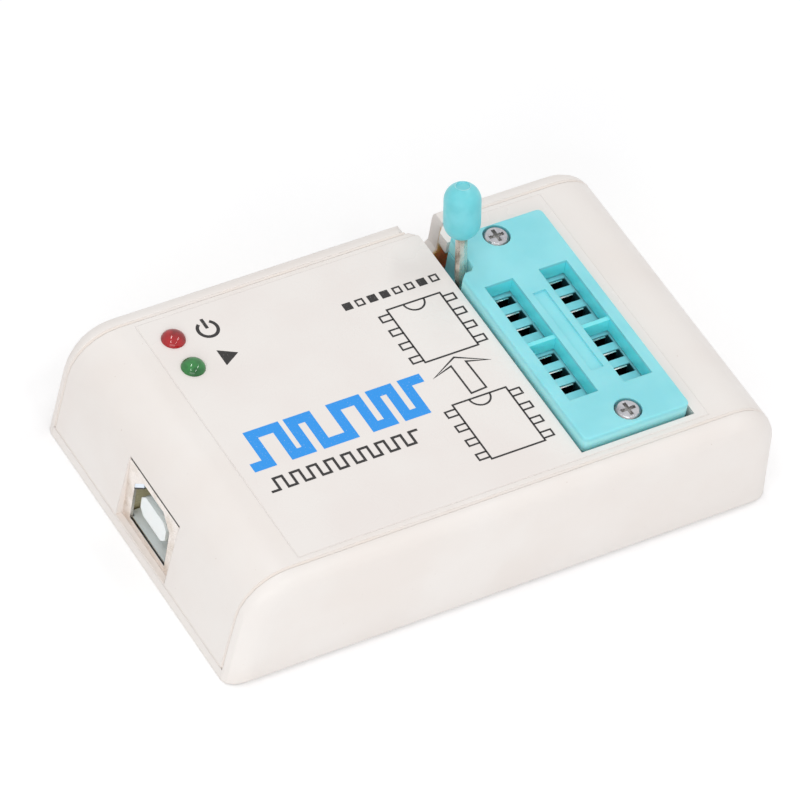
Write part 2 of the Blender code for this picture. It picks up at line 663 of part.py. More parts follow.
def pin_places():
    return [PIN_FIELD_Y + PIN_FIELD_HALF - i * PIN_PITCH for i in range(PINS_IN_ROW)]


def zif_screw_places():
    return {"back": ZIF_BACK - ZIF_SCREW_FROM_BACK, "front": ZIF_FRONT + ZIF_SCREW_FROM_FRONT}


def zif_base(finish):
    body = bmesh.new()
    outline = rounded_rectangle(ZIF_LEFT, ZIF_RIGHT, ZIF_FRONT, ZIF_BACK, ZIF_CORNER)
    add_prism(body, outline, ZIF_BOTTOM, ZIF_BASE_TOP)
    base = make("zif_base", body, finish)
    over = ZIF_BASE_TOP + ZIF_COVER
    cuts = bmesh.new()
    half = SLIDER_HALF_WIDTH + SEAM
    low = (ZIF_X - half, SLIDER_FRONT - SEAM, POCKET_FLOOR)
    add_box(cuts, low, (ZIF_X + half, LEVER_Y - CHANNEL_HALF / 2, over))
    combine(base, cuts, "DIFFERENCE")
    trenches = bmesh.new()
    for x in pin_rows():
        side = SLOT_LENGTH / 2
        low = (x - side, PIN_FIELD_Y - WINDOW_HALF, TRENCH_FLOOR)
        add_box(trenches, low, (x + side, PIN_FIELD_Y + WINDOW_HALF, SLIDER_TOP))
    combine(base, trenches, "DIFFERENCE")
    channel = bmesh.new()
    low = (LEVER_X, LEVER_Y - CHANNEL_HALF, LEVER_Z - CHANNEL_HALF)
    add_box(channel, low, (LEVER_X + LEVER_SHAFT + SEAM, LEVER_Y + CHANNEL_HALF, over))
    combine(base, channel, "DIFFERENCE")
    pocket = bmesh.new()
    low = (ZIF_LEFT - ZIF_CORNER, LEVER_PIT_FRONT, LEVER_Z - CHANNEL_HALF)
    add_box(pocket, low, (LEVER_NOTCH_RIGHT, ZIF_BACK + ZIF_CORNER, over))
    combine(base, pocket, "DIFFERENCE")
    holes = bmesh.new()
    for y in zif_screw_places().values():
        depth = ZIF_TOP - ZIF_SCREW_LENGTH - SEAM
        add_cylinder(holes, (ZIF_X, y), ZIF_SCREW_RADIUS + HOLE_CLEARANCE, depth, over)
    combine(base, holes, "DIFFERENCE")


def zif_cover(finish):
    r = ZIF_CORNER
    outline = rounded_rectangle(ZIF_LEFT, ZIF_RIGHT, ZIF_FRONT, ZIF_BACK, r)
    kept = [p for p in outline if not (p[0] < ZIF_X and p[1] > PIN_FIELD_Y)]
    front_corner = [p for p in kept if p[0] < ZIF_X]
    others = [p for p in kept if p[0] > ZIF_X]
    notch = [(LEVER_NOTCH_RIGHT, ZIF_BACK), (LEVER_NOTCH_RIGHT, LEVER_NOTCH_FRONT + LEVER_NOTCH_CHAMFER)]
    notch += [(LEVER_NOTCH_RIGHT - LEVER_NOTCH_CHAMFER, LEVER_NOTCH_FRONT)]
    notch += [(ZIF_LEFT + r, LEVER_NOTCH_FRONT), (ZIF_LEFT, LEVER_NOTCH_FRONT - r)]
    outline = others + notch + front_corner
    rings = [[(x, y, ZIF_COVER_BOTTOM) for x, y in outline]]
    for angle in quarter(FILLET_STEPS):
        inset = ZIF_COVER_FILLET * (1 - math.cos(angle))
        z = ZIF_TOP - ZIF_COVER_FILLET * (1 - math.sin(angle))
        rings.append([(x, y, z) for x, y in inset_outline(outline, inset)])
    body = bmesh.new()
    add_loft(body, rings)
    cover = make("zif_cover", body, finish)
    over, under = ZIF_TOP + ZIF_COVER, ZIF_COVER_BOTTOM - ZIF_COVER
    windows = bmesh.new()
    for x in pin_rows():
        for side in (-1, 1):
            near, far = PIN_FIELD_Y + side * WINDOW_BAR / 2, PIN_FIELD_Y + side * WINDOW_HALF
            low = (x - WINDOW_WIDTH / 2, min(near, far), under)
            add_box(windows, low, (x + WINDOW_WIDTH / 2, max(near, far), over))
    combine(cover, windows, "DIFFERENCE")
    shallow = bmesh.new()
    for x in pin_rows():
        low = (x - WINDOW_WIDTH / 2, PIN_FIELD_Y - WINDOW_BAR, ZIF_TOP - WINDOW_BAR_DROP)
        add_box(shallow, low, (x + WINDOW_WIDTH / 2, PIN_FIELD_Y + WINDOW_BAR, over))
    low = (ZIF_X - FRAME_WIDTH / 2, PIN_FIELD_Y - FRAME_LENGTH / 2, ZIF_TOP - FRAME_DEPTH)
    add_box(shallow, low, (ZIF_X + FRAME_WIDTH / 2, PIN_FIELD_Y + FRAME_LENGTH / 2, over))
    combine(cover, shallow, "DIFFERENCE")
    holes = bmesh.new()
    for y in zif_screw_places().values():
        wide = ZIF_SCREW_HEAD_RADIUS + CLOSE_CLEARANCE
        narrow = ZIF_SCREW_RADIUS + HOLE_CLEARANCE
        step = ZIF_TOP - ZIF_SCREW_HEAD_HEIGHT - SEAM
        profile = [(0.0, under), (narrow, under), (narrow, step), (wide, step), (wide, over), (0.0, over)]
        add_turned(holes, profile, (ZIF_X, y))
    combine(cover, holes, "DIFFERENCE")


def zif_screws(finish):
    for name, y in zif_screw_places().items():
        bm = bmesh.new()
        sizes = (ZIF_SCREW_RADIUS, ZIF_SCREW_LENGTH, ZIF_SCREW_HEAD_RADIUS, ZIF_SCREW_HEAD_HEIGHT)
        add_turned(bm, screw_profile(*sizes, ZIF_TOP, -1), (ZIF_X, y))
        screw = make(f"zif_screw_{name}", bm, finish)
        cross = bmesh.new()
        add_cross(cross, (ZIF_X, y), ZIF_TOP - CROSS_DEPTH, ZIF_TOP + ZIF_COVER)
        combine(screw, cross, "DIFFERENCE")


def zif_slider(finish):
    """The slotted plate under the cover, with its origin at its middle."""
    middle = Vector((ZIF_X, (SLIDER_FRONT + SLIDER_BACK) / 2, (SLIDER_BOTTOM + SLIDER_TOP) / 2))
    plate = bmesh.new()
    low = (ZIF_X - SLIDER_HALF_WIDTH, SLIDER_FRONT, SLIDER_BOTTOM)
    add_box(plate, low, (ZIF_X + SLIDER_HALF_WIDTH, SLIDER_BACK, SLIDER_TOP))
    bmesh.ops.translate(plate, verts=plate.verts, vec=-middle)
    slider = make("zif_slider", plate, finish)
    slider.location = middle
    slots = bmesh.new()
    for x in pin_rows():
        for y in pin_places():
            low = (x - SLOT_LENGTH / 2, y - SLOT_WIDTH / 2, SLIDER_BOTTOM - SLIDER_THICKNESS)
            high = (x + SLOT_LENGTH / 2, y + SLOT_WIDTH / 2, SLIDER_TOP + SLIDER_THICKNESS)
            add_box(slots, low, high)
    combine(slider, slots, "DIFFERENCE")


def zif_contacts(finish):
    number = 1
    for row in pin_rows():
        for y in pin_places():
            back = y + SLOT_WIDTH / 2 - CONTACT_BACK_GAP
            left = row - SLOT_LENGTH / 2 + CONTACT_LEFT_GAP
            blade = bmesh.new()
            low = (left, back - CONTACT_THICKNESS, TRENCH_FLOOR + SEAM)
            add_box(blade, low, (left + CONTACT_WIDTH, back, SLIDER_TOP - CONTACT_SINK))
            make(f"zif_contact_{number}", blade, finish)
            number += 1


def zif_risers(finish):
    half = PIN_FIELD_HALF + PIN_PITCH / 2
    for name, x in zip(("left", "right"), pin_rows()):
        strip = bmesh.new()
        low = (x - RISER_WIDTH / 2, PIN_FIELD_Y - half, ON_BOARD)
        add_box(strip, low, (x + RISER_WIDTH / 2, PIN_FIELD_Y + half, ZIF_BOTTOM - SEAM))
        make(f"zif_riser_{name}", strip, finish)


def lever_pivot():
    """An empty on the lever's axis, leaned back as far as the open lever is."""
    pivot = bpy.data.objects.new("lever_pivot", None)
    pivot.location = (LEVER_X, LEVER_Y, LEVER_Z)
    pivot.rotation_euler.x = -LEVER_LEAN
    bpy.context.scene.collection.objects.link(pivot)
    return pivot


def zif_lever(pivot, finish):
    """A bent rod: the shaft lies along X in the socket, and the arm stands up in the knob."""
    points = [(LEVER_SHAFT, 0.0, 0.0)]
    for angle in quarter(ARC_STEPS):
        points.append((LEVER_BEND * (1 - math.sin(angle)), 0.0, LEVER_BEND * (1 - math.cos(angle))))
    points.append((0.0, 0.0, KNOB_REACH + KNOB_BORE_DEPTH - SEAM))
    curve = bpy.data.curves.new("zif_lever", "CURVE")
    curve.dimensions = "3D"
    curve.bevel_depth = LEVER_DIAMETER / 2
    curve.bevel_resolution = LEVER_RESOLUTION
    curve.use_fill_caps = True
    spline = curve.splines.new("POLY")
    spline.points.add(len(points) - 1)
    for slot, point in zip(spline.points, points):
        slot.co = (*point, 1.0)
    spline.use_smooth = True
    curve.materials.append(finish)
    lever = bpy.data.objects.new("zif_lever", curve)
    lever.parent = pivot
    bpy.context.scene.collection.objects.link(lever)


def zif_knob(pivot, finish):
    """A capsule with a dimple in its end, bored for the lever."""
    radius = KNOB_DIAMETER / 2
    bore = LEVER_DIAMETER / 2 + SEAM
    low, high = KNOB_REACH, KNOB_REACH + KNOB_LENGTH
    start = math.asin(bore / radius)
    profile = [(0.0, low + KNOB_BORE_DEPTH), (bore, low + KNOB_BORE_DEPTH)]
    for i in range(ARC_STEPS + 1):
        angle = start + (math.pi / 2 - start) * i / ARC_STEPS
        profile.append((radius * math.sin(angle), low + radius * (1 - math.cos(angle))))
    finish_angle = math.acos(KNOB_DIMPLE_RADIUS / radius)
    for i in range(ARC_STEPS + 1):
        angle = finish_angle * i / ARC_STEPS
        profile.append((radius * math.cos(angle), high - radius * (1 - math.sin(angle))))
    dimple = profile[-1][1] - KNOB_DIMPLE_DEPTH
    profile += [(KNOB_DIMPLE_RADIUS - KNOB_DIMPLE_DEPTH, dimple), (0.0, dimple)]
    bm = bmesh.new()
    add_turned(bm, profile, sides=KNOB_SIDES)
    make("zif_knob", bm, finish).parent = pivot


def board_parts(chip_finish, metal_finish, can_finish):
    """The parts between the port and the socket: chip, crystal, regulator and two capacitors."""
    half_l, half_w = CHIP_LENGTH / 2, CHIP_WIDTH / 2
    body = bmesh.new()
    low = (PARTS_X - half_w, -half_l, ON_BOARD + CHIP_LEAD_WIDTH)
    add_box(body, low, (PARTS_X + half_w, half_l, ON_BOARD + CHIP_HEIGHT))
    chip = make("microcontroller", body, chip_finish)
    leads = bmesh.new()
    reach = half_w + CHIP_LEAD_LENGTH
    for i in range(CHIP_LEADS):
        y = (i - (CHIP_LEADS - 1) / 2) * CHIP_LEAD_PITCH
        low = (PARTS_X - reach, y - CHIP_LEAD_WIDTH / 2, ON_BOARD)
        add_box(leads, low, (PARTS_X + reach, y + CHIP_LEAD_WIDTH / 2, ON_BOARD + 2 * CHIP_LEAD_WIDTH))
    combine(chip, leads, "UNION")

    crystal_y = half_l + PART_SPACING + CRYSTAL_WIDTH / 2
    x, r = CRYSTAL_LENGTH / 2, CRYSTAL_WIDTH / 2
    can = bmesh.new()
    outline = rounded_rectangle(PARTS_X - x, PARTS_X + x, crystal_y - r, crystal_y + r, CRYSTAL_CORNER)
    add_prism(can, outline, ON_BOARD, ON_BOARD + CRYSTAL_HEIGHT)
    make("crystal", can, metal_finish)

    regulator_y = -half_l - PART_SPACING - REGULATOR_WIDTH / 2
    x, r, tab = REGULATOR_LENGTH / 2, REGULATOR_WIDTH / 2, REGULATOR_TAB_WIDTH / 2
    slab = bmesh.new()
    low = (PARTS_X - x, regulator_y - r, ON_BOARD)
    add_box(slab, low, (PARTS_X + x, regulator_y + r, ON_BOARD + REGULATOR_HEIGHT))
    regulator = make("voltage_regulator", slab, chip_finish)
    fin = bmesh.new()
    low = (PARTS_X - tab, regulator_y - r - REGULATOR_TAB, ON_BOARD)
    add_box(fin, low, (PARTS_X + tab, regulator_y, ON_BOARD + REGULATOR_TAB_HEIGHT))
    combine(regulator, fin, "UNION")

    for i, side in enumerate((-1, 1)):
        r, g, h = CAPACITOR_RADIUS, CAPACITOR_GROOVE, CAPACITOR_HEIGHT
        profile = [(0.0, 0.0), (r, 0.0), (r, 2 * g), (r - g, 3 * g), (r, 4 * g)]
        profile += [(r, h - g), (r - g, h), (0.0, h)]
        drum = bmesh.new()
        place = (PARTS_X + side * (REGULATOR_LENGTH / 2 + PART_SPACING + r), regulator_y)
        add_turned(drum, [(radius, ON_BOARD + z) for radius, z in profile], place)
        make(f"capacitor_{i + 1}", drum, can_finish)


def build():
    clear_scene()
    case = material("case_plastic", (0.87, 0.82, 0.78), 0.45)
    socket = material("socket_plastic", (0.27, 0.74, 0.79), 0.40)
    knob = material("knob_plastic", (0.16, 0.66, 0.72), 0.45)
    steel = material("steel", (0.60, 0.58, 0.56), 0.30, 1.0)
    tin = material("tinned_contact", (0.80, 0.80, 0.78), 0.25, 1.0)
    gold = material("gold_contact", (0.83, 0.65, 0.30), 0.30, 1.0)
    black = material("black_plastic", (0.03, 0.03, 0.03), 0.50)

    bottom_shell(case)
    top_shell(case)
    case_screws(steel)
    top_label(material("label_sheet", (0.82, 0.79, 0.76), 0.40))
    lamp("red", LED_RED_Y, material("red_lens", (0.45, 0.02, 0.02), 0.20), tin)
    lamp("green", LED_GREEN_Y, material("green_lens", (0.05, 0.26, 0.07), 0.20), tin)
    main_board(material("board", (0.03, 0.22, 0.10), 0.55))
    usb_shell(steel)
    usb_insulator(material("port_plastic", (0.75, 0.86, 0.86), 0.45), gold)
    zif_base(socket)
    zif_slider(socket)
    zif_cover(socket)
    zif_screws(steel)
    zif_contacts(tin)
    zif_risers(black)
    pivot = lever_pivot()
    zif_lever(pivot, steel)
    zif_knob(pivot, knob)
    board_parts(black, steel, material("capacitor_can", (0.55, 0.55, 0.56), 0.35, 1.0))


build()
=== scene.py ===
"""Looks of the chip programmer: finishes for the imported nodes, thin pieces, light and camera."""
import math

import bmesh
import bpy
from mathutils import Matrix, Vector


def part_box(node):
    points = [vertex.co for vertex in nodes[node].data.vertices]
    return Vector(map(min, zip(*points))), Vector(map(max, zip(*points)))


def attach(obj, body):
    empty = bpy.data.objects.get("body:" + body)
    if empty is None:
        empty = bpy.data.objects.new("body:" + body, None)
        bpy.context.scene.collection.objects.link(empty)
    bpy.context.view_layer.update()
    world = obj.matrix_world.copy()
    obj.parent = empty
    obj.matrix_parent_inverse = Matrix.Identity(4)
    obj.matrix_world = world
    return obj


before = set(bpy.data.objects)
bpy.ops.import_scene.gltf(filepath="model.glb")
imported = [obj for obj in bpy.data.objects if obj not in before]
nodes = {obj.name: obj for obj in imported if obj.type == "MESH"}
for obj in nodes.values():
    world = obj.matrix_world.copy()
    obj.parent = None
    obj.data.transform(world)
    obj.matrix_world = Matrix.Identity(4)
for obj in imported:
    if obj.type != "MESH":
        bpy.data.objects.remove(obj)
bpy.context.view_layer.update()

MM = 0.001

# Camera of the photograph, in metres, degrees and millimetres of lens
CAMERA_PLACE = (-0.33793, -0.42690, 0.58706)
CAMERA_TURN = (42.8184, -7.4881, -30.1116)
CAMERA_LENS = 299.364
SENSOR = 36.0

# Colours as sRGB numbers from 0 to 255
CASE = (241, 236, 232)
CASE_WARM = (238, 231, 226)
SPECK = (176, 150, 128)
LABEL = (241, 236, 232)
LABEL_WARM = (238, 231, 227)
SEAM = (240, 230, 222)
# painted warm shade for the inside of the lever's notch
NOTCH_PAINTED_SHADE = (226, 186, 142)
TEAL = (150, 227, 235)
TEAL_DEEP = (138, 220, 229)
# painted light for the lower outer walls of the socket's cover
TEAL_WALL_PAINTED_LIGHT = (170, 241, 245)
# painted glow for the walls of the socket's windows
TEAL_WINDOW_PAINTED_GLOW = (118, 242, 250)
# painted shade down in the contact slots
TEAL_WELL_PAINTED_SHADE = (34, 74, 80)
KNOB = (130, 220, 229)
KNOB_DEEP = (112, 210, 219)
# painted highlight for the bead round the knob's dimple
KNOB_RIM_HIGHLIGHT = (196, 240, 245)
BLUE_INK = (34, 151, 238)
BLACK_INK = (26, 22, 22)
STEEL = (224, 218, 209)
STEEL_DARK = (158, 147, 132)
NICKEL = (238, 231, 226)
NICKEL_DULL = (222, 212, 202)
# painted dim warm light inside the port's mouth
NICKEL_INSIDE_PAINTED_LIGHT = (214, 204, 166)
# painted reflection: blue-white tint of the port's spring
SPRING_SKY_REFLECTION = (232, 240, 250)
SPRING_DULL = (206, 218, 232)
SCREW = (188, 188, 192)
SCREW_DULL = (150, 150, 156)
# painted shade in the cross of the socket's screws
SCREW_CROSS_SHADE = (158, 156, 154)
TIN = (236, 236, 232)
TIN_DULL = (196, 196, 190)
# painted shade down the contacts in the slots
TIN_PAINTED_SHADE = (26, 44, 48)
GOLD = (226, 188, 110)
GOLD_DULL = (190, 148, 76)
PORT = (246, 252, 252)
PORT_DEEP = (236, 247, 248)
RED_LENS = (176, 6, 20)
RED_DEEP = (128, 2, 10)
GREEN_LENS = (46, 134, 62)
GREEN_DEEP = (20, 94, 40)
BOARD = (24, 92, 52)
BOARD_TRACE = (44, 122, 72)
CHIP = (34, 34, 36)
CHIP_DEEP = (22, 22, 24)
CAN = (198, 200, 204)
CAN_DULL = (150, 152, 158)
FLOOR = (255, 255, 255)
FLOOR_SHADE = (252, 252, 253)

# How far red, green and blue light spread inside a plastic, as shares of one length
TEAL_SPREAD = (0.3, 0.8, 1.0)
PORT_SPREAD = (0.9, 1.0, 1.0)
NOTCH_SPREAD = (1.0, 0.7, 0.45)

# How far roughness strays from its mean, the size of dull patches on metal, and rays for a rounded edge
MOULD_SMOOTHER, MOULD_ROUGHER = 0.05, 0.06
METAL_SMOOTHER, METAL_ROUGHER = 0.08, 0.12
DULL_PATCH = 2.2 * MM
EDGE_SAMPLES = 6


def linear(colour):
    """A colour of 0 to 255 as the linear value that the shaders take."""
    out = []
    for v in colour:
        c = v / 255
        out.append(c / 12.92 if c <= 0.04045 else ((c + 0.055) / 1.055) ** 2.4)
    return (*out, 1.0)


def fill(node, sockets):
    """Sets sockets of a node by their names, which have _ for a space."""
    for key, value in sockets.items():
        node.inputs[key.replace("_", " ")].default_value = value


class Finish:
    """A node material: adds nodes by name and links them to a Principled shader."""

    def __init__(self, name, roughness, metallic=0.0):
        self.material = bpy.data.materials.new(name)
        self.material.use_nodes = True
        self.tree = self.material.node_tree
        self.shader = self.tree.nodes["Principled BSDF"]
        self.set(Roughness=roughness, Metallic=metallic)
        self.place = self.add("ShaderNodeTexCoord").outputs["Object"]

    def add(self, kind, **sockets):
        node = self.tree.nodes.new(kind)
        fill(node, sockets)
        return node

    def set(self, **sockets):
        fill(self.shader, sockets)

    def link(self, source, target):
        self.tree.links.new(source, target)

    def stretched(self, scale):
        """Coordinates stretched by a scale for each axis."""
        mapping = self.add("ShaderNodeMapping", Scale=scale)
        self.link(self.place, mapping.inputs["Vector"])
        return mapping.outputs["Vector"]

    def noise(self, size, detail=2.0, place=None):
        """Noise with features of about this size in metres."""
        node = self.add("ShaderNodeTexNoise", Scale=1 / size, Detail=detail)
        self.link(place or self.place, node.inputs["Vector"])
        return node.outputs["Fac"]

    def ramp(self, source, low, high, start=0.3, end=0.7):
        """A smooth step from low to high between two values of the source."""
        node = self.add("ShaderNodeMapRange")
        node.interpolation_type = "SMOOTHSTEP"
        self.link(source, node.inputs["Value"])
        fill(node, {"From Min": start, "From Max": end, "To Min": low, "To Max": high})
        return node.outputs["Result"]

    def mix(self, factor, first, second):
        """Mixes two colours, or a socket and a colour, by a factor socket."""
        node = self.add("ShaderNodeMix")
        node.data_type = "RGBA"
        self.link(factor, node.inputs["Factor"])
        for name, value in (("A", first), ("B", second)):
            target = next(s for s in node.inputs if s.name == name and s.type == "RGBA")
            if isinstance(value, tuple):
                target.default_value = value
            else:
                self.link(value, target)
        return next(s for s in node.outputs if s.type == "RGBA")

    def colour(self, socket):
        self.link(socket, self.shader.inputs["Base Color"])

    def rough(self, socket):
        self.link(socket, self.shader.inputs["Roughness"])

    def along(self, axis):
        """The place along one axis of the part, in metres."""
        split = self.add("ShaderNodeSeparateXYZ")
        self.link(self.place, split.inputs[0])
        return split.outputs[axis]

    def inside(self, low, high, blur):
        """One inside a box of the part and nought outside it, blurred at the box's edges."""
        sides = []
        for axis, near, far in zip("XYZ", low, high):
            place = self.along(axis)
            sides.append(self.ramp(place, 0.0, 1.0, near - blur, near))
            sides.append(self.ramp(place, 1.0, 0.0, far, far + blur))
        share = sides[0]
        for side in sides[1:]:
            both = self.add("ShaderNodeMath")
            both.operation = "MULTIPLY"
            self.link(share, both.inputs[0])
            self.link(side, both.inputs[1])
            share = both.outputs[0]
        return share

    def over(self, factor, colour):
        """Lays another colour over the base colour by a factor socket."""
        under = self.shader.inputs["Base Color"].links[0].from_socket
        self.colour(self.mix(factor, under, linear(colour)))

    def relief(self, source, height, edge=None):
        """Bump of this height in metres from a source, over edges rounded by a radius."""
        bump = self.add("ShaderNodeBump", Strength=1.0, Distance=height)
        self.link(source, bump.inputs["Height"])
        if edge:
            bevel = self.add("ShaderNodeBevel", Radius=edge)
            bevel.samples = EDGE_SAMPLES
            self.link(bevel.outputs["Normal"], bump.inputs["Normal"])
        self.link(bump.outputs["Normal"], self.shader.inputs["Normal"])

    def translucent(self, spread, scale, weight):
        """Lets light spread under the skin over a length in metres."""
        self.set(Subsurface_Radius=spread, Subsurface_Scale=scale, Subsurface_Weight=weight)


def moulded(name, main, other, roughness, grain, depth, edge, blotch=8 * MM):
    """Moulded plastic: broad colour drift, fine eroded grain, rounded edges."""
    finish = Finish(name, roughness)
    drift = finish.ramp(finish.noise(blotch, detail=3.0), 0.0, 1.0)
    finish.colour(finish.mix(drift, linear(main), linear(other)))
    worn = finish.noise(blotch / 2)
    finish.rough(finish.ramp(worn, roughness - MOULD_SMOOTHER, roughness + MOULD_ROUGHER))
    finish.relief(finish.noise(grain), depth, edge)
    return finish


def plated(name, main, other, roughness, stretch, edge, grain=0.12 * MM, depth=0.004 * MM):
    """Metal: drawn lines along one direction, dull patches, rounded edges."""
    finish = Finish(name, roughness, metallic=1.0)
    lines = finish.noise(grain, detail=3.0, place=finish.stretched(stretch))
    dull = finish.ramp(finish.noise(DULL_PATCH, detail=4.0), 0.0, 1.0, start=0.42, end=0.72)
    finish.colour(finish.mix(dull, linear(main), linear(other)))
    smoothest, roughest = roughness - METAL_SMOOTHER, roughness + METAL_ROUGHER
    finish.rough(finish.ramp(lines, smoothest, roughest, start=0.25, end=0.75))
    finish.relief(lines, depth, edge)
    return finish


def case_finish():
    """Off-white plastic with fine specks; beside the lever's notch a painted warm shade, where light
    also spreads under the skin.
    """
    finish = moulded("case_plastic", CASE, CASE_WARM, roughness=0.38, grain=0.16 * MM,
                     depth=0.010 * MM, edge=0.18 * MM, blotch=14 * MM)
    specks = finish.noise(0.35 * MM, detail=0.0)
    finish.over(finish.ramp(specks, 0.0, 0.35, start=0.86, end=0.92), SPECK)
    # painted warm shade in a box beside the lever's notch; the same box sets where light spreads under
    # the skin
    thin = finish.inside(NOTCH_LOW, NOTCH_HIGH, NOTCH_BLUR)
    finish.over(thin, NOTCH_PAINTED_SHADE)
    finish.translucent(NOTCH_SPREAD, scale=3.0 * MM, weight=0.0)
    finish.link(thin, finish.shader.inputs["Subsurface Weight"])
    finish.set(Specular_IOR_Level=0.42)
    return finish.material


def label_finish():
    """Smooth printed film."""
    finish = moulded("label_film", LABEL, LABEL_WARM, roughness=0.30, grain=0.35 * MM,
                     depth=0.003 * MM, edge=None, blotch=10 * MM)
    finish.set(Specular_IOR_Level=0.45)
    return finish.material


def socket_plastic(name):
    return moulded(name, TEAL, TEAL_DEEP, roughness=0.36, grain=0.14 * MM,
                   depth=0.005 * MM, edge=0.07 * MM, blotch=6 * MM)


def cover_finish():
    """Socket plastic with painted light low on its outer walls and a painted glow on the walls of its
    windows.
    """
    finish = socket_plastic("socket_plastic")
    finish.translucent(TEAL_SPREAD, scale=1.0 * MM, weight=0.3)
    # painted light: the cover is paler below its top, against the shade on its walls
    finish.over(finish.ramp(finish.along("Z"), 1.0, 0.0, WALL_LIGHT_FULL, WALL_TOP), TEAL_WALL_PAINTED_LIGHT)
    # painted glow: the walls of the windows stand in for light bounced inside them
    finish.over(finish.inside(WINDOW_LOW, WINDOW_HIGH, WINDOW_BLUR), TEAL_WINDOW_PAINTED_GLOW)
    return finish.material


def shaded_well_finish(name):
    """Socket plastic with painted shade, dark down in the contact slots."""
    finish = socket_plastic(name)
    # painted shade in a box round the contact slots
    finish.over(finish.inside(WELL_LOW, WELL_HIGH, WELL_BLUR), TEAL_WELL_PAINTED_SHADE)
    return finish.material


def knob_finish():
    """Teal plastic with a blotchy skin."""
    finish = moulded("knob_plastic", KNOB, KNOB_DEEP, roughness=0.33, grain=0.3 * MM,
                     depth=0.008 * MM, edge=0.06 * MM, blotch=2.4 * MM)
    finish.translucent(TEAL_SPREAD, scale=1.0 * MM, weight=0.3)
    return finish.material


def lens_finish(name, main, deep):
    """Clear coloured epoxy over a darker core, with a polished skin."""
    finish = Finish(name, roughness=0.05)
    core = finish.ramp(finish.noise(1.6 * MM), 0.0, 1.0, start=0.35, end=0.7)
    finish.colour(finish.mix(core, linear(main), linear(deep)))
    finish.rough(finish.ramp(finish.noise(0.4 * MM), low=0.03, high=0.08))
    finish.relief(finish.noise(0.9 * MM, detail=1.0), height=0.001 * MM)
    finish.set(Specular_IOR_Level=0.6)
    return finish.material


def port_plastic_finish():
    """Pale nylon that lets light through."""
    finish = moulded("port_plastic", PORT, PORT_DEEP, roughness=0.4, grain=0.2 * MM,
                     depth=0.005 * MM, edge=0.1 * MM)
    finish.translucent(PORT_SPREAD, scale=0.3 * MM, weight=0.2)
    return finish.material


def board_finish():
    """Solder mask with a raised pattern of tracks under it."""
    finish = Finish("solder_mask", roughness=0.35)
    bricks = finish.add("ShaderNodeTexBrick", Scale=1.0, Mortar_Size=0.12 * MM, Mortar_Smooth=0.2,
                        Brick_Width=3.2 * MM, Row_Height=0.9 * MM)
    finish.link(finish.place, bricks.inputs["Vector"])
    tracks = bricks.outputs["Fac"]
    finish.colour(finish.mix(tracks, linear(BOARD), linear(BOARD_TRACE)))
    finish.rough(finish.ramp(finish.noise(3 * MM), low=0.28, high=0.42))
    finish.relief(tracks, height=0.03 * MM, edge=0.08 * MM)
    return finish.material


def ink_finish(name, main, under):
    """Printed ink that is a little thin and broken in places, so that the film shows through."""
    finish = Finish(name, roughness=0.42)
    thin = finish.ramp(finish.noise(0.22 * MM, detail=3.0), 0.0, 0.55, start=0.62, end=0.80)
    finish.colour(finish.mix(thin, linear(main), linear(under)))
    finish.rough(finish.ramp(finish.noise(0.5 * MM), low=0.36, high=0.5))
    finish.relief(finish.noise(0.15 * MM), height=0.003 * MM)
    return finish.material


def port_shell_finish():
    """Bright nickel with painted light inside the mouth: an olive tint and a less metallic skin stand
    in for the dim warm light there.
    """
    finish = plated("nickel_shell", NICKEL, NICKEL_DULL, roughness=0.30, stretch=(0.12, 1.0, 1.0),
                    edge=0.10 * MM)
    deep = finish.along("X")
    # painted light: olive and less metallic deeper in the mouth
    finish.over(finish.ramp(deep, 0.0, 1.0, MOUTH_CLEAN, MOUTH_YELLOW), NICKEL_INSIDE_PAINTED_LIGHT)
    shiny = finish.ramp(deep, 1.0, 0.15, MOUTH_CLEAN, MOUTH_YELLOW)
    finish.link(shiny, finish.shader.inputs["Metallic"])
    return finish.material


def socket_screw_finish():
    """Grey screw with painted shade in its cross, which is also less metallic."""
    finish = plated("socket_screw", SCREW, SCREW_DULL, roughness=0.24, stretch=(1.0, 0.5, 1.0),
                    edge=0.05 * MM, grain=0.9 * MM, depth=0.16 * MM)
    height = finish.along("Z")
    # painted shade: the cross is darker and less metallic than the head
    finish.over(finish.ramp(height, 1.0, 0.0, CROSS_DARK, CROSS_TOP), SCREW_CROSS_SHADE)
    shiny = finish.ramp(height, 0.5, 1.0, CROSS_DARK, CROSS_TOP)
    finish.link(shiny, finish.shader.inputs["Metallic"])
    return finish.material


def tinned(name):
    return plated(name, TIN, TIN_DULL, roughness=0.28, stretch=(1.0, 1.0, 0.15), edge=0.04 * MM)


def contact_finish():
    """Bright spring tips with painted shade below them, dark down in the slots."""
    finish = tinned("spring_tip")
    # painted shade: the contacts go dark below their tips
    finish.over(finish.ramp(finish.along("Z"), 1.0, 0.0, TIP_DARK, TIP_TOP), TIN_PAINTED_SHADE)
    return finish.material


# Places on the part where a finish changes, in metres
slider_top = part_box("zif_slider")[1].z
first_low, last_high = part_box("zif_contact_8")[0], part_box("zif_contact_9")[1]
# Box of the painted shade down in the contact slots
WELL_SIDE, WELL_END = 0.8 * MM, 1.4 * MM
WELL_BLUR = 0.3 * MM
WELL_LOW = (first_low.x - WELL_SIDE, first_low.y - WELL_END, 0.0)
WELL_HIGH = (last_high.x + WELL_SIDE, last_high.y + WELL_END, slider_top - 0.35 * MM)
cover_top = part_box("zif_cover")[1].z
# Heights where the painted light on the cover's walls is full and where it ends
WALL_LIGHT_FULL, WALL_TOP = cover_top - 0.9 * MM, cover_top - 0.3 * MM
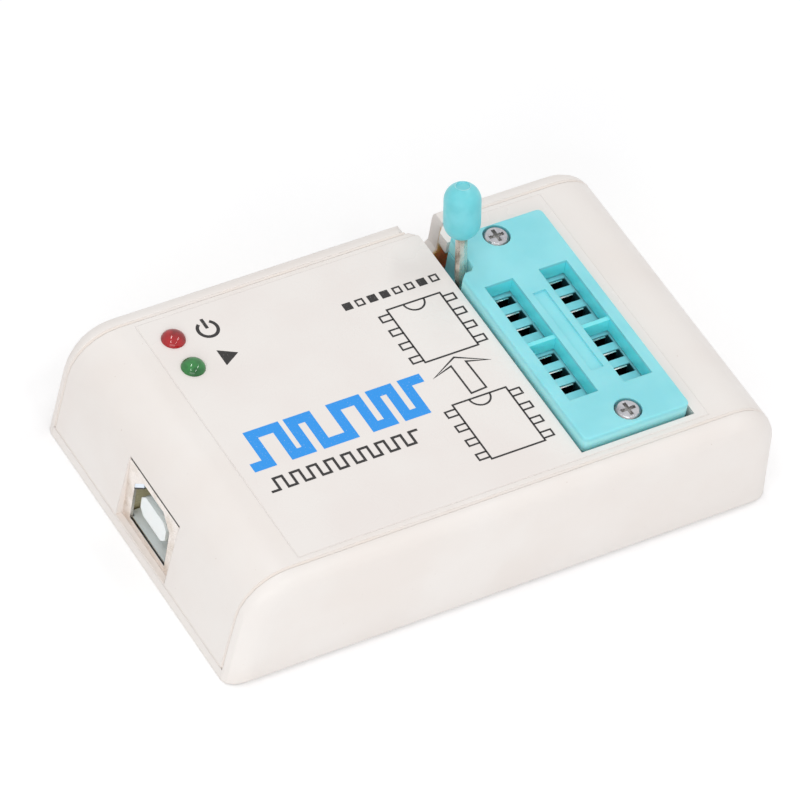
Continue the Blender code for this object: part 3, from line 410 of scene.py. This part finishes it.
# Box of the painted glow on the walls of the cover's windows
WINDOW_SIDE, WINDOW_END = 1.5 * MM, 2.2 * MM
WINDOW_BLUR = 0.25 * MM
WINDOW_LOW = (first_low.x - WINDOW_SIDE, first_low.y - WINDOW_END, 0.0)
WINDOW_HIGH = (last_high.x + WINDOW_SIDE, last_high.y + WINDOW_END, cover_top - 0.5 * MM)
contact_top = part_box("zif_contact_1")[1].z
TIP_DARK, TIP_TOP = contact_top - 0.10 * MM, contact_top - 0.03 * MM
# Heights where the painted shade on the contacts is full and where it ends
screw_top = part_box("zif_screw_back")[1].z
CROSS_DARK, CROSS_TOP = screw_top - 0.2 * MM, screw_top - 0.05 * MM
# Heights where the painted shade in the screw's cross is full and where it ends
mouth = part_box("usb_shell")[0].x
# Depths in the port's mouth where its painted light begins and is full
MOUTH_CLEAN, MOUTH_YELLOW = mouth + 0.3 * MM, mouth + 1.2 * MM
# Box of the painted warm shade beside the lever's notch
NOTCH_LOW, NOTCH_HIGH = (8.0 * MM, 18.0 * MM, 4.0 * MM), (19.0 * MM, 20.8 * MM, 14.4 * MM)
NOTCH_BLUR = 0.4 * MM

FINISHES = {
    "case": case_finish(),
    "label": label_finish(),
    "socket": cover_finish(),
    "knob": knob_finish(),
    "steel": plated("drawn_steel", STEEL, STEEL_DARK, roughness=0.30, stretch=(1.0, 1.0, 0.08),
                    edge=0.06 * MM).material,
    "tinned_contact": tinned("tinned_spring").material,
    "gold_contact": plated("gilt_spring", GOLD, GOLD_DULL, roughness=0.26, stretch=(0.15, 1.0, 1.0),
                           edge=0.03 * MM).material,
    "port_plastic": port_plastic_finish(),
    "red_lens": lens_finish("red_epoxy", RED_LENS, RED_DEEP),
    "green_lens": lens_finish("green_epoxy", GREEN_LENS, GREEN_DEEP),
    "board": board_finish(),
    "black_plastic": moulded("black_resin", CHIP, CHIP_DEEP, roughness=0.5, grain=0.12 * MM,
                             depth=0.01 * MM, edge=0.08 * MM).material,
    "capacitor_can": plated("drawn_aluminium", CAN, CAN_DULL, roughness=0.34, stretch=(1.0, 1.0, 0.1),
                            edge=0.08 * MM).material,
}
SPECIAL = {
    "usb_shell": port_shell_finish(),
    "zif_screw": socket_screw_finish(),
    "case_screw": plated("case_screw", SCREW, SCREW_DULL, roughness=0.3, stretch=(1.0, 0.12, 1.0),
                         edge=0.05 * MM).material,
    "zif_contact": contact_finish(),
    "zif_slider": shaded_well_finish("slider_plastic"),
    "zif_base": shaded_well_finish("base_plastic"),
}
FILLER = moulded("seam_plastic", SEAM, CASE_WARM, roughness=0.5, grain=0.16 * MM,
                 depth=0.006 * MM, edge=None, blotch=6 * MM).material
# painted highlight: the bead is paler than the knob, standing in for light on the dimple's edge
RIM = moulded("rim_painted_highlight", KNOB_RIM_HIGHLIGHT, KNOB, roughness=0.3, grain=0.2 * MM,
              depth=0.004 * MM, edge=None, blotch=1.2 * MM).material
# painted reflection: the spring's blue-white tint stands in for the sky on its upper face
SPRING = plated("port_spring", SPRING_SKY_REFLECTION, SPRING_DULL, roughness=0.34, stretch=(0.12, 1.0, 1.0),
                edge=None).material
BLUE = ink_finish("blue_ink", BLUE_INK, LABEL)
BLACK = ink_finish("black_ink", BLACK_INK, LABEL)

JOIN_DISTANCE = 0.0005 * MM
SMOOTH_ANGLE = math.radians(30)


def smooth_group():
    """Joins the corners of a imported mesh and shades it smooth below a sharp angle."""
    group = bpy.data.node_groups.new("join_and_smooth", "GeometryNodeTree")
    group.interface.new_socket("Geometry", in_out="INPUT", socket_type="NodeSocketGeometry")
    group.interface.new_socket("Geometry", in_out="OUTPUT", socket_type="NodeSocketGeometry")
    add = group.nodes.new
    start, end = add("NodeGroupInput"), add("NodeGroupOutput")
    bare = add("GeometryNodeRemoveAttribute")
    bare.inputs["Name"].default_value = "custom_normal"
    joined = add("GeometryNodeMergeByDistance")
    joined.inputs["Distance"].default_value = JOIN_DISTANCE
    faces = add("GeometryNodeSetShadeSmooth")
    faces.domain = "FACE"
    angle = add("GeometryNodeInputMeshEdgeAngle")
    soft = add("FunctionNodeCompare")
    soft.operation = "LESS_THAN"
    soft.inputs["B"].default_value = SMOOTH_ANGLE
    edges = add("GeometryNodeSetShadeSmooth")
    edges.domain = "EDGE"
    link = group.links.new
    link(start.outputs[0], bare.inputs["Geometry"])
    link(bare.outputs["Geometry"], joined.inputs["Geometry"])
    link(joined.outputs["Geometry"], faces.inputs["Geometry"])
    link(faces.outputs["Geometry"], edges.inputs["Geometry"])
    link(angle.outputs["Unsigned Angle"], soft.inputs["A"])
    link(soft.outputs["Result"], edges.inputs["Shade Smooth"])
    link(edges.outputs["Geometry"], end.inputs[0])
    return group


SMOOTH = smooth_group()


def dress(name, obj):
    """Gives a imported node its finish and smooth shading."""
    slot = obj.material_slots[0].material.name.split(".")[0]
    finish = FINISHES[slot]
    for start, special in SPECIAL.items():
        if name.startswith(start):
            finish = special
    obj.material_slots[0].material = finish
    modifier = obj.modifiers.new("join_and_smooth", "NODES")
    modifier.node_group = SMOOTH


for node_name, node_object in nodes.items():
    dress(node_name, node_object)

# Printed marks on the label, in millimetres on its face
INK = 0.02
PRINT_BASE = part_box("top_label")[1].z / MM
MITRE_LIMIT = 0.35
LINE = 0.24
DIP_WIDTH = 7.4
DIP_LENGTH = 9.25
DIP_NOTCH = 1.4
DIP_NOTCH_STEPS = 20
PINS_ON_SIDE = 4
PIN_LONG = 1.45
PIN_WIDE = 0.95
PIN_PITCH = 2.42
PIN_FIRST = 1.15
UPPER_DIP = (4.15, 5.6)
LOWER_DIP = (3.65, -10.9)
ARROW = [
    (0.24, -1.6), (4.05, 0.35), (7.75, -1.6), (5.05, -0.75), (5.2, -5.35), (3.05, -5.5), (3.0, -0.75),
]
PULSE_LINE = 1.35
PULSE_LOW, PULSE_HIGH = -5.6, -0.95
PULSE_EDGES = (-26.9, -24.6, -21.2, -19.2, -16.9, -13.4, -10.2, -8.0, -5.8, -3.6, -1.2)
CLOCK_LINE = 0.34
CLOCK_LOW, CLOCK_HIGH = -9.75, -7.95
CLOCK_START, CLOCK_STEP, CLOCK_COUNT = -26.6, 1.15, 18
BIT_SIZE, BIT_PITCH, BIT_COUNT = 1.15, 1.72, 8
BIT_START = (-3.6, 12.6)
FILLED_BITS = (0, 2, 3, 6)
MARK_RADIUS = 1.25
POWER_MARK = (-20.9, 16.0)
POWER_LINE = 0.42
POWER_START, POWER_END, POWER_STEPS = 125, 415, 40
POWER_STEM_LOW, POWER_STEM_HIGH = 0.1, 1.7
RUN_MARK = (-20.9, 11.25)
RUN_SIZE = 1.2 * MARK_RADIUS


def ribbon(bm, points, width, closed=False, low=PRINT_BASE, high=PRINT_BASE + INK):
    """A flat line along points between two heights, with mitred corners."""
    count = len(points)
    sides = []
    for i, point in enumerate(points):
        here = Vector(point)
        before = Vector(points[i - 1]) if closed or i else here
        after = Vector(points[(i + 1) % count]) if closed or i < count - 1 else here
        one = (here - before).normalized() if here != before else (after - here).normalized()
        two = (after - here).normalized() if after != here else one
        normal = Vector((-(one + two).y, (one + two).x)).normalized()
        reach = width / 2 / max(MITRE_LIMIT, normal.dot(Vector((-one.y, one.x))))
        sides.append((here + normal * reach, here - normal * reach))
    rings = []
    for left, right in sides:
        ring = [(left, low), (right, low), (right, high), (left, high)]
        rings.append([bm.verts.new((p.x * MM, p.y * MM, z * MM)) for p, z in ring])
    for i in range(count if closed else count - 1):
        a, b = rings[i], rings[(i + 1) % count]
        for k in range(4):
            bm.faces.new((a[k], a[(k + 1) % 4], b[(k + 1) % 4], b[k]))
    if not closed:
        bm.faces.new(rings[0][::-1])
        bm.faces.new(rings[-1])


def slab(bm, outline):
    """A flat printed area."""
    low = [bm.verts.new((x * MM, y * MM, PRINT_BASE * MM)) for x, y in outline]
    high = [bm.verts.new((x * MM, y * MM, (PRINT_BASE + INK) * MM)) for x, y in outline]
    bm.faces.new(low[::-1])
    bm.faces.new(high)
    count = len(outline)
    for i in range(count):
        k = (i + 1) % count
        bm.faces.new((low[i], low[k], high[k], high[i]))


def arc(centre, radius, start, end, steps):
    """Points along an arc between two angles in degrees."""
    turns = [math.radians(start + (end - start) * i / steps) for i in range(steps + 1)]
    return [(centre[0] + radius * math.cos(a), centre[1] + radius * math.sin(a)) for a in turns]


def square(centre, size):
    h = size / 2
    return [(centre[0] + x * h, centre[1] + y * h) for x, y in ((-1, -1), (1, -1), (1, 1), (-1, 1))]


def chip_drawing(bm, centre):
    """Outline of an eight-pin chip seen from above, its notch towards the back."""
    left, right = centre[0] - DIP_WIDTH / 2, centre[0] + DIP_WIDTH / 2
    front, back = centre[1] - DIP_LENGTH / 2, centre[1] + DIP_LENGTH / 2
    ribbon(bm, [(left, front), (right, front), (right, back), (left, back)], LINE, True)
    ribbon(bm, arc((centre[0], back), DIP_NOTCH, 180, 360, DIP_NOTCH_STEPS), LINE)
    for side, x in ((-1, left), (1, right)):
        tip = x + side * PIN_LONG
        for i in range(PINS_ON_SIDE):
            y = back - PIN_FIRST - i * PIN_PITCH
            high, low = y + PIN_WIDE / 2, y - PIN_WIDE / 2
            ribbon(bm, [(x, high), (tip, high), (tip, low), (x, low)], LINE)


def pulse_path(edges, low, high):
    """A square wave that changes level at each edge but the first and last."""
    path = [(edges[0], low)]
    level = low
    for x in edges[1:-1]:
        path.append((x, level))
        level = high if level == low else low
        path.append((x, level))
    return path + [(edges[-1], level)]


def made(name, draw, finish, body="case"):
    """A piece on a body of the part, from a function that draws its mesh."""
    bm = bmesh.new()
    draw(bm)
    bmesh.ops.recalc_face_normals(bm, faces=bm.faces)
    mesh = bpy.data.meshes.new(name)
    bm.to_mesh(mesh)
    bm.free()
    mesh.materials.append(finish)
    obj = bpy.data.objects.new(name, mesh)
    bpy.context.scene.collection.objects.link(obj)
    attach(obj, body)


def draw_power(bm):
    """An open ring with a stem in its gap."""
    ribbon(bm, arc(POWER_MARK, MARK_RADIUS, POWER_START, POWER_END, POWER_STEPS), POWER_LINE)
    x, y = POWER_MARK
    ribbon(bm, [(x, y + POWER_STEM_LOW), (x, y + POWER_STEM_HIGH)], POWER_LINE)


def draw_run(bm):
    """A triangle: an arc of two steps of a third of a turn."""
    slab(bm, arc(RUN_MARK, RUN_SIZE, 0, 240, 2))


def draw_bits(bm):
    """A row of squares, some of them filled."""
    for i in range(BIT_COUNT):
        centre = (BIT_START[0] + i * BIT_PITCH, BIT_START[1])
        if i in FILLED_BITS:
            slab(bm, square(centre, BIT_SIZE))
        else:
            ribbon(bm, square(centre, BIT_SIZE - LINE), LINE, True)


def draw_pulse(bm):
    """The broad square wave."""
    ribbon(bm, pulse_path(PULSE_EDGES, PULSE_LOW, PULSE_HIGH), PULSE_LINE)


def draw_clock(bm):
    """The fine, even square wave under it."""
    edges = [CLOCK_START + i * CLOCK_STEP for i in range(CLOCK_COUNT + 1)]
    ribbon(bm, pulse_path(edges, CLOCK_LOW, CLOCK_HIGH), CLOCK_LINE)


made("print_upper_chip", lambda bm: chip_drawing(bm, UPPER_DIP), BLACK)
made("print_lower_chip", lambda bm: chip_drawing(bm, LOWER_DIP), BLACK)
made("print_arrow", lambda bm: ribbon(bm, ARROW, LINE, True), BLACK)
made("print_pulse", draw_pulse, BLUE)
made("print_clock", draw_clock, BLACK)
made("print_bits", draw_bits, BLACK)
made("print_power_mark", draw_power, BLACK)
made("print_run_mark", draw_run, BLACK)

# Fillers in the seams of the case, in millimetres: its outline, and where the strips lie and stop
HALF_LENGTH = 37.7
CASE_TOP = 16.2
CORNER = 6.2
TAPER = math.radians(4.8)
CORNER_STEPS = 6
COVER_FOOT = 1.72
SEAM_FRONT, SEAM_BACK = 20.452, 20.748
SEAM_DROP, SEAM_DEPTH = 0.04, 0.5
NOTCH_LEFT, NOTCH_RIGHT = 9.0, 14.8
FOOT_LOW, FOOT_HIGH = 1.402, 1.698
FOOT_DEPTH = 0.81
COVER_SIDE = 20.4
LABEL_GAP_MIDDLE = 0.05
LABEL_GAP_FILL = 0.098
LABEL_GAP_DROP = 0.003
LABEL_CUT_LEFT, LABEL_CUT_RIGHT = 9.9, 14.0
RING_RADIUS, RING_WIDTH = 1.6, 0.19
RING_LOW, RING_HIGH = PRINT_BASE - 0.3, PRINT_BASE - 0.02
RING_STEPS = 48

# Fillers, and dark strips of painted shadow round the port's mouth: lowest and highest corners in
# millimetres
PORT_SIDES = (
    ((-36.69, 5.102, 1.702), (-36.0, 5.298, 11.25)),
    ((-36.69, -6.698, 1.702), (-36.0, -6.502, 11.25)),
)
PORT_FOOT = ((-36.295, -4.92, 2.35), (-35.99, 3.52, 2.595))
# painted shadow strips above the shell and on the sill of the mouth
PORT_SHADOW_LINES = (
    ((-36.62, -6.48, 11.302), (-36.2, 5.08, 11.498)),
    ((-36.62, -4.9, 2.602), (-36.42, 3.5, 2.625)),
)

# Rim of the knob's dimple and spring of the port, in millimetres
KNOB_RIM_RADIUS, KNOB_RIM_TUBE = 0.94, 0.055
KNOB_RIM_UP = 16.43
LEVER_PIVOT = (11.9, 11.25, 12.5)
LEVER_LEAN = math.radians(12.8)
RIM_STEPS, TUBE_STEPS = 48, 8
SPRING_FRONT, SPRING_BACK = -36.66, -35.6
SPRING_PROFILE = [
    (3.51, 8.58), (1.74, 10.35), (1.60, 10.35), (1.60, 9.75), (1.78, 9.62), (3.35, 8.05), (3.51, 7.98),
]
SPRING_SHADE = [
    (3.51, 7.97), (3.35, 8.04), (1.78, 9.61), (1.60, 9.74),
    (1.60, 9.55), (1.74, 9.42), (3.33, 7.80), (3.51, 7.72),
]


def outline(drop):
    """The case's outline from the front, a drop inside its skin, from right foot to left foot."""
    centre_z = CASE_TOP - CORNER
    centre_x = HALF_LENGTH - (CORNER + centre_z * math.sin(TAPER)) / math.cos(TAPER)
    foot_x = HALF_LENGTH - COVER_FOOT * math.tan(TAPER) - drop / math.cos(TAPER)
    turns = [TAPER + (math.pi / 2 - TAPER) * i / CORNER_STEPS for i in range(CORNER_STEPS + 1)]
    radius = CORNER - drop
    right = [(foot_x, COVER_FOOT)]
    right += [(centre_x + radius * math.cos(a), centre_z + radius * math.sin(a)) for a in turns]
    return right + [(-x, z) for x, z in reversed(right)]


def strip(bm, pairs, front, back):
    """A closed strip between two values of y, along pairs of an outer and an inner point."""
    rings = []
    for (ox, oz), (ix, iz) in pairs:
        ring = [(ox, front, oz), (ox, back, oz), (ix, back, iz), (ix, front, iz)]
        rings.append([bm.verts.new([v * MM for v in corner]) for corner in ring])
    for a, b in zip(rings, rings[1:]):
        for k in range(4):
            bm.faces.new((a[k], a[(k + 1) % 4], b[(k + 1) % 4], b[k]))
    bm.faces.new(rings[0][::-1])
    bm.faces.new(rings[-1])


def draw_plate_seams(bm):
    """Strips between the cover and the two side plates, the back one open at the lever's notch."""
    pairs = list(zip(outline(SEAM_DROP), outline(SEAM_DROP + SEAM_DEPTH)))
    half = len(pairs) // 2
    top = CASE_TOP - SEAM_DROP
    stops = [((x, top), (x, top - SEAM_DEPTH)) for x in (NOTCH_RIGHT, NOTCH_LEFT)]
    strip(bm, pairs, -SEAM_BACK, -SEAM_FRONT)
    strip(bm, pairs[:half] + stops[:1], SEAM_FRONT, SEAM_BACK)
    strip(bm, stops[1:] + pairs[half:], SEAM_FRONT, SEAM_BACK)


def draw_foot_seams(bm):
    """Strips under the cover's two ends, which are also the sill in front of the port."""
    outer = HALF_LENGTH - FOOT_HIGH * math.tan(TAPER) - SEAM_DROP
    for side in (1, -1):
        pairs = [((side * outer, z), (side * (outer - FOOT_DEPTH), z)) for z in (FOOT_LOW, FOOT_HIGH)]
        strip(bm, pairs, -COVER_SIDE, COVER_SIDE)


def block(bm, low, high):
    """A closed strip between two corners."""
    pairs = [((low[0], z), (high[0], z)) for z in (low[2], high[2])]
    strip(bm, pairs, low[1], high[1])


def draw_port_sides(bm):
    """Fillers in the gaps at the two sides of the port's shell."""
    for low, high in PORT_SIDES:
        block(bm, low, high)


def draw_port_shadows(bm):
    """Painted shadows: dark strips in the gap above the port's shell, on the sill of its mouth and
    under its spring.
    """
    for low, high in PORT_SHADOW_LINES:
        block(bm, low, high)
    draw_spring(bm, SPRING_SHADE)


def draw_label_edge(bm):
    """A line in the gap round the label, open where the lever passes."""
    low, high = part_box("top_label")
    left, right = low.x / MM - LABEL_GAP_MIDDLE, high.x / MM + LABEL_GAP_MIDDLE
    front, back = low.y / MM - LABEL_GAP_MIDDLE, high.y / MM + LABEL_GAP_MIDDLE
    corners = [(right, back), (right, front), (left, front), (left, back)]
    path = [(LABEL_CUT_RIGHT, back), *corners, (LABEL_CUT_LEFT, back)]
    ribbon(bm, path, LABEL_GAP_FILL, False, low.z / MM, CASE_TOP - LABEL_GAP_DROP)


def draw_lamp_ring(bm, node):
    """The pale edge of the hole round a lamp."""
    low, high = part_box(node)
    centre = ((low.x + high.x) / 2 / MM, (low.y + high.y) / 2 / MM)
    path = arc(centre, RING_RADIUS, 0, 360, RING_STEPS)[:-1]
    ribbon(bm, path, RING_WIDTH, True, RING_LOW, RING_HIGH)


def draw_knob_rim(bm):
    """A fine bead round the dimple in the knob's end, square to the leaning lever."""
    lean = Matrix.Translation(LEVER_PIVOT) @ Matrix.Rotation(-LEVER_LEAN, 4, "X")
    rings = []
    for i in range(RIM_STEPS):
        turn = 2 * math.pi * i / RIM_STEPS
        ring = []
        for k in range(TUBE_STEPS):
            roll = 2 * math.pi * k / TUBE_STEPS
            reach = KNOB_RIM_RADIUS + KNOB_RIM_TUBE * math.cos(roll)
            up = KNOB_RIM_UP + KNOB_RIM_TUBE * math.sin(roll)
            point = Vector((reach * math.cos(turn), reach * math.sin(turn), up))
            ring.append(bm.verts.new((lean @ point) * MM))
        rings.append(ring)
    for i in range(RIM_STEPS):
        a, b = rings[i], rings[(i + 1) % RIM_STEPS]
        for k in range(TUBE_STEPS):
            bm.faces.new((a[k], a[(k + 1) % TUBE_STEPS], b[(k + 1) % TUBE_STEPS], b[k])).smooth = True


def draw_spring(bm, profile):
    """A bent strip inside the port's mouth."""
    front = [bm.verts.new((SPRING_FRONT * MM, y * MM, z * MM)) for y, z in profile]
    back = [bm.verts.new((SPRING_BACK * MM, y * MM, z * MM)) for y, z in profile]
    count = len(profile)
    for i in range(count):
        k = (i + 1) % count
        bm.faces.new((front[i], front[k], back[k], back[i]))
    bm.faces.new(front[::-1])
    bm.faces.new(back)


# the bead round the dimple, with its painted highlight
made("knob_rim", draw_knob_rim, RIM, "lever")
made("port_spring", lambda bm: draw_spring(bm, SPRING_PROFILE), SPRING)
# dark strips that stand as painted shadow in the port's gaps
made("port_painted_shadows", draw_port_shadows, FINISHES["black_plastic"])
made("case_plate_seams", draw_plate_seams, FILLER)
made("case_foot_seams", draw_foot_seams, FILLER)
made("port_sides", draw_port_sides, FILLER)
made("port_foot", lambda bm: block(bm, *PORT_FOOT), FINISHES["port_plastic"])
made("label_edge", draw_label_edge, FINISHES["label"])
made("red_lamp_ring", lambda bm: draw_lamp_ring(bm, "red_led_lens"), FINISHES["label"])
made("green_lamp_ring", lambda bm: draw_lamp_ring(bm, "green_led_lens"), FINISHES["label"])

# Floor, light and camera: lengths in metres, power in watts, white as a linear value
WHITE = (1.0, 1.0, 1.0, 1.0)
FLOOR_HALF = 4.0
FLOOR_DROP = 0.02 * MM
FLOOR_DRIFT = 60 * MM
AMBIENT = 0.58
STRIP_POWER = 0.76
STRIP_SIZE = (0.045, 0.36)
STRIP_ALONG = (-0.62, -0.78, 0.0)
STRIP_PLACES = (
    (0.065, -0.48, 0.83),
    (0.425, -0.025, 0.83),
    (-0.395, -0.13, 0.865),
    (-0.035, 0.325, 0.865),
)
FRONT_PLACE = (-0.52, -0.63, 0.38)
FRONT_SIZE = (0.7, 0.5)
FRONT_POWER = 1.95
FLOOR_GLOW = 0.09
CLIP_START, CLIP_END = 0.01, 20.0


def seeing_rays(tree):
    """One for the rays of the camera, gloss and glass, and nought for the light on surfaces."""
    path = tree.nodes.new("ShaderNodeLightPath")
    seen = path.outputs["Is Camera Ray"]
    for ray in ("Is Glossy Ray", "Is Transmission Ray"):
        either = tree.nodes.new("ShaderNodeMath")
        either.operation = "MAXIMUM"
        tree.links.new(seen, either.inputs[0])
        tree.links.new(path.outputs[ray], either.inputs[1])
        seen = either.outputs[0]
    return seen


def make_floor():
    """White paper just under the part."""
    mesh = bpy.data.meshes.new("floor")
    corners = [(x, y, -FLOOR_DROP) for x, y in square((0.0, 0.0), 2 * FLOOR_HALF)]
    mesh.from_pydata(corners, [], [(0, 1, 2, 3)])
    finish = Finish("studio_paper", roughness=0.9)
    drift = finish.ramp(finish.noise(FLOOR_DRIFT), 0.0, 1.0)
    finish.colour(finish.mix(drift, linear(FLOOR), linear(FLOOR_SHADE)))
    finish.set(Specular_IOR_Level=0.0, Emission_Color=WHITE)
    glow = finish.ramp(seeing_rays(finish.tree), 0.0, FLOOR_GLOW, 0.0, 1.0)
    finish.link(glow, finish.shader.inputs["Emission Strength"])
    mesh.materials.append(finish.material)
    floor = bpy.data.objects.new("floor", mesh)
    bpy.context.scene.collection.objects.link(floor)


def make_world():
    """White for what the camera, gloss and glass see, and plain soft light for the surfaces."""
    world = bpy.data.worlds.new("studio")
    bpy.context.scene.world = world
    world.use_nodes = True
    tree = world.node_tree
    background = tree.nodes["Background"]
    background.inputs["Color"].default_value = WHITE
    strength = tree.nodes.new("ShaderNodeMapRange")
    fill(strength, {"To Min": AMBIENT, "To Max": 1.0})
    tree.links.new(seeing_rays(tree), strength.inputs["Value"])
    tree.links.new(strength.outputs["Result"], background.inputs["Strength"])


def area_light(name, place, size, power, along=(0.0, 0.0, 1.0)):
    """A lamp that faces the origin, its height turned along a direction."""
    light = bpy.data.lights.new(name, "AREA")
    light.shape = "RECTANGLE"
    light.size, light.size_y = size
    light.energy = power
    lamp = bpy.data.objects.new(name, light)
    lamp.location = place
    back = Vector(place).normalized()
    up = (Vector(along) - Vector(along).dot(back) * back).normalized()
    lamp.rotation_euler = Matrix((up.cross(back), up, back)).transposed().to_euler()
    bpy.context.scene.collection.objects.link(lamp)


def make_camera():
    """The camera of the photograph."""
    data = bpy.data.cameras.new("photo_camera")
    data.sensor_width = SENSOR
    data.lens = CAMERA_LENS
    data.clip_start, data.clip_end = CLIP_START, CLIP_END
    camera = bpy.data.objects.new("photo_camera", data)
    camera.location = CAMERA_PLACE
    camera.rotation_euler = [math.radians(a) for a in CAMERA_TURN]
    bpy.context.scene.collection.objects.link(camera)
    bpy.context.scene.camera = camera


make_floor()
make_world()
area_light("front", FRONT_PLACE, FRONT_SIZE, FRONT_POWER)
for number, strip_place in enumerate(STRIP_PLACES):
    area_light(f"strip_{number + 1}", strip_place, STRIP_SIZE, STRIP_POWER, STRIP_ALONG)
make_camera()
bpy.context.scene.view_settings.view_transform = "Standard"
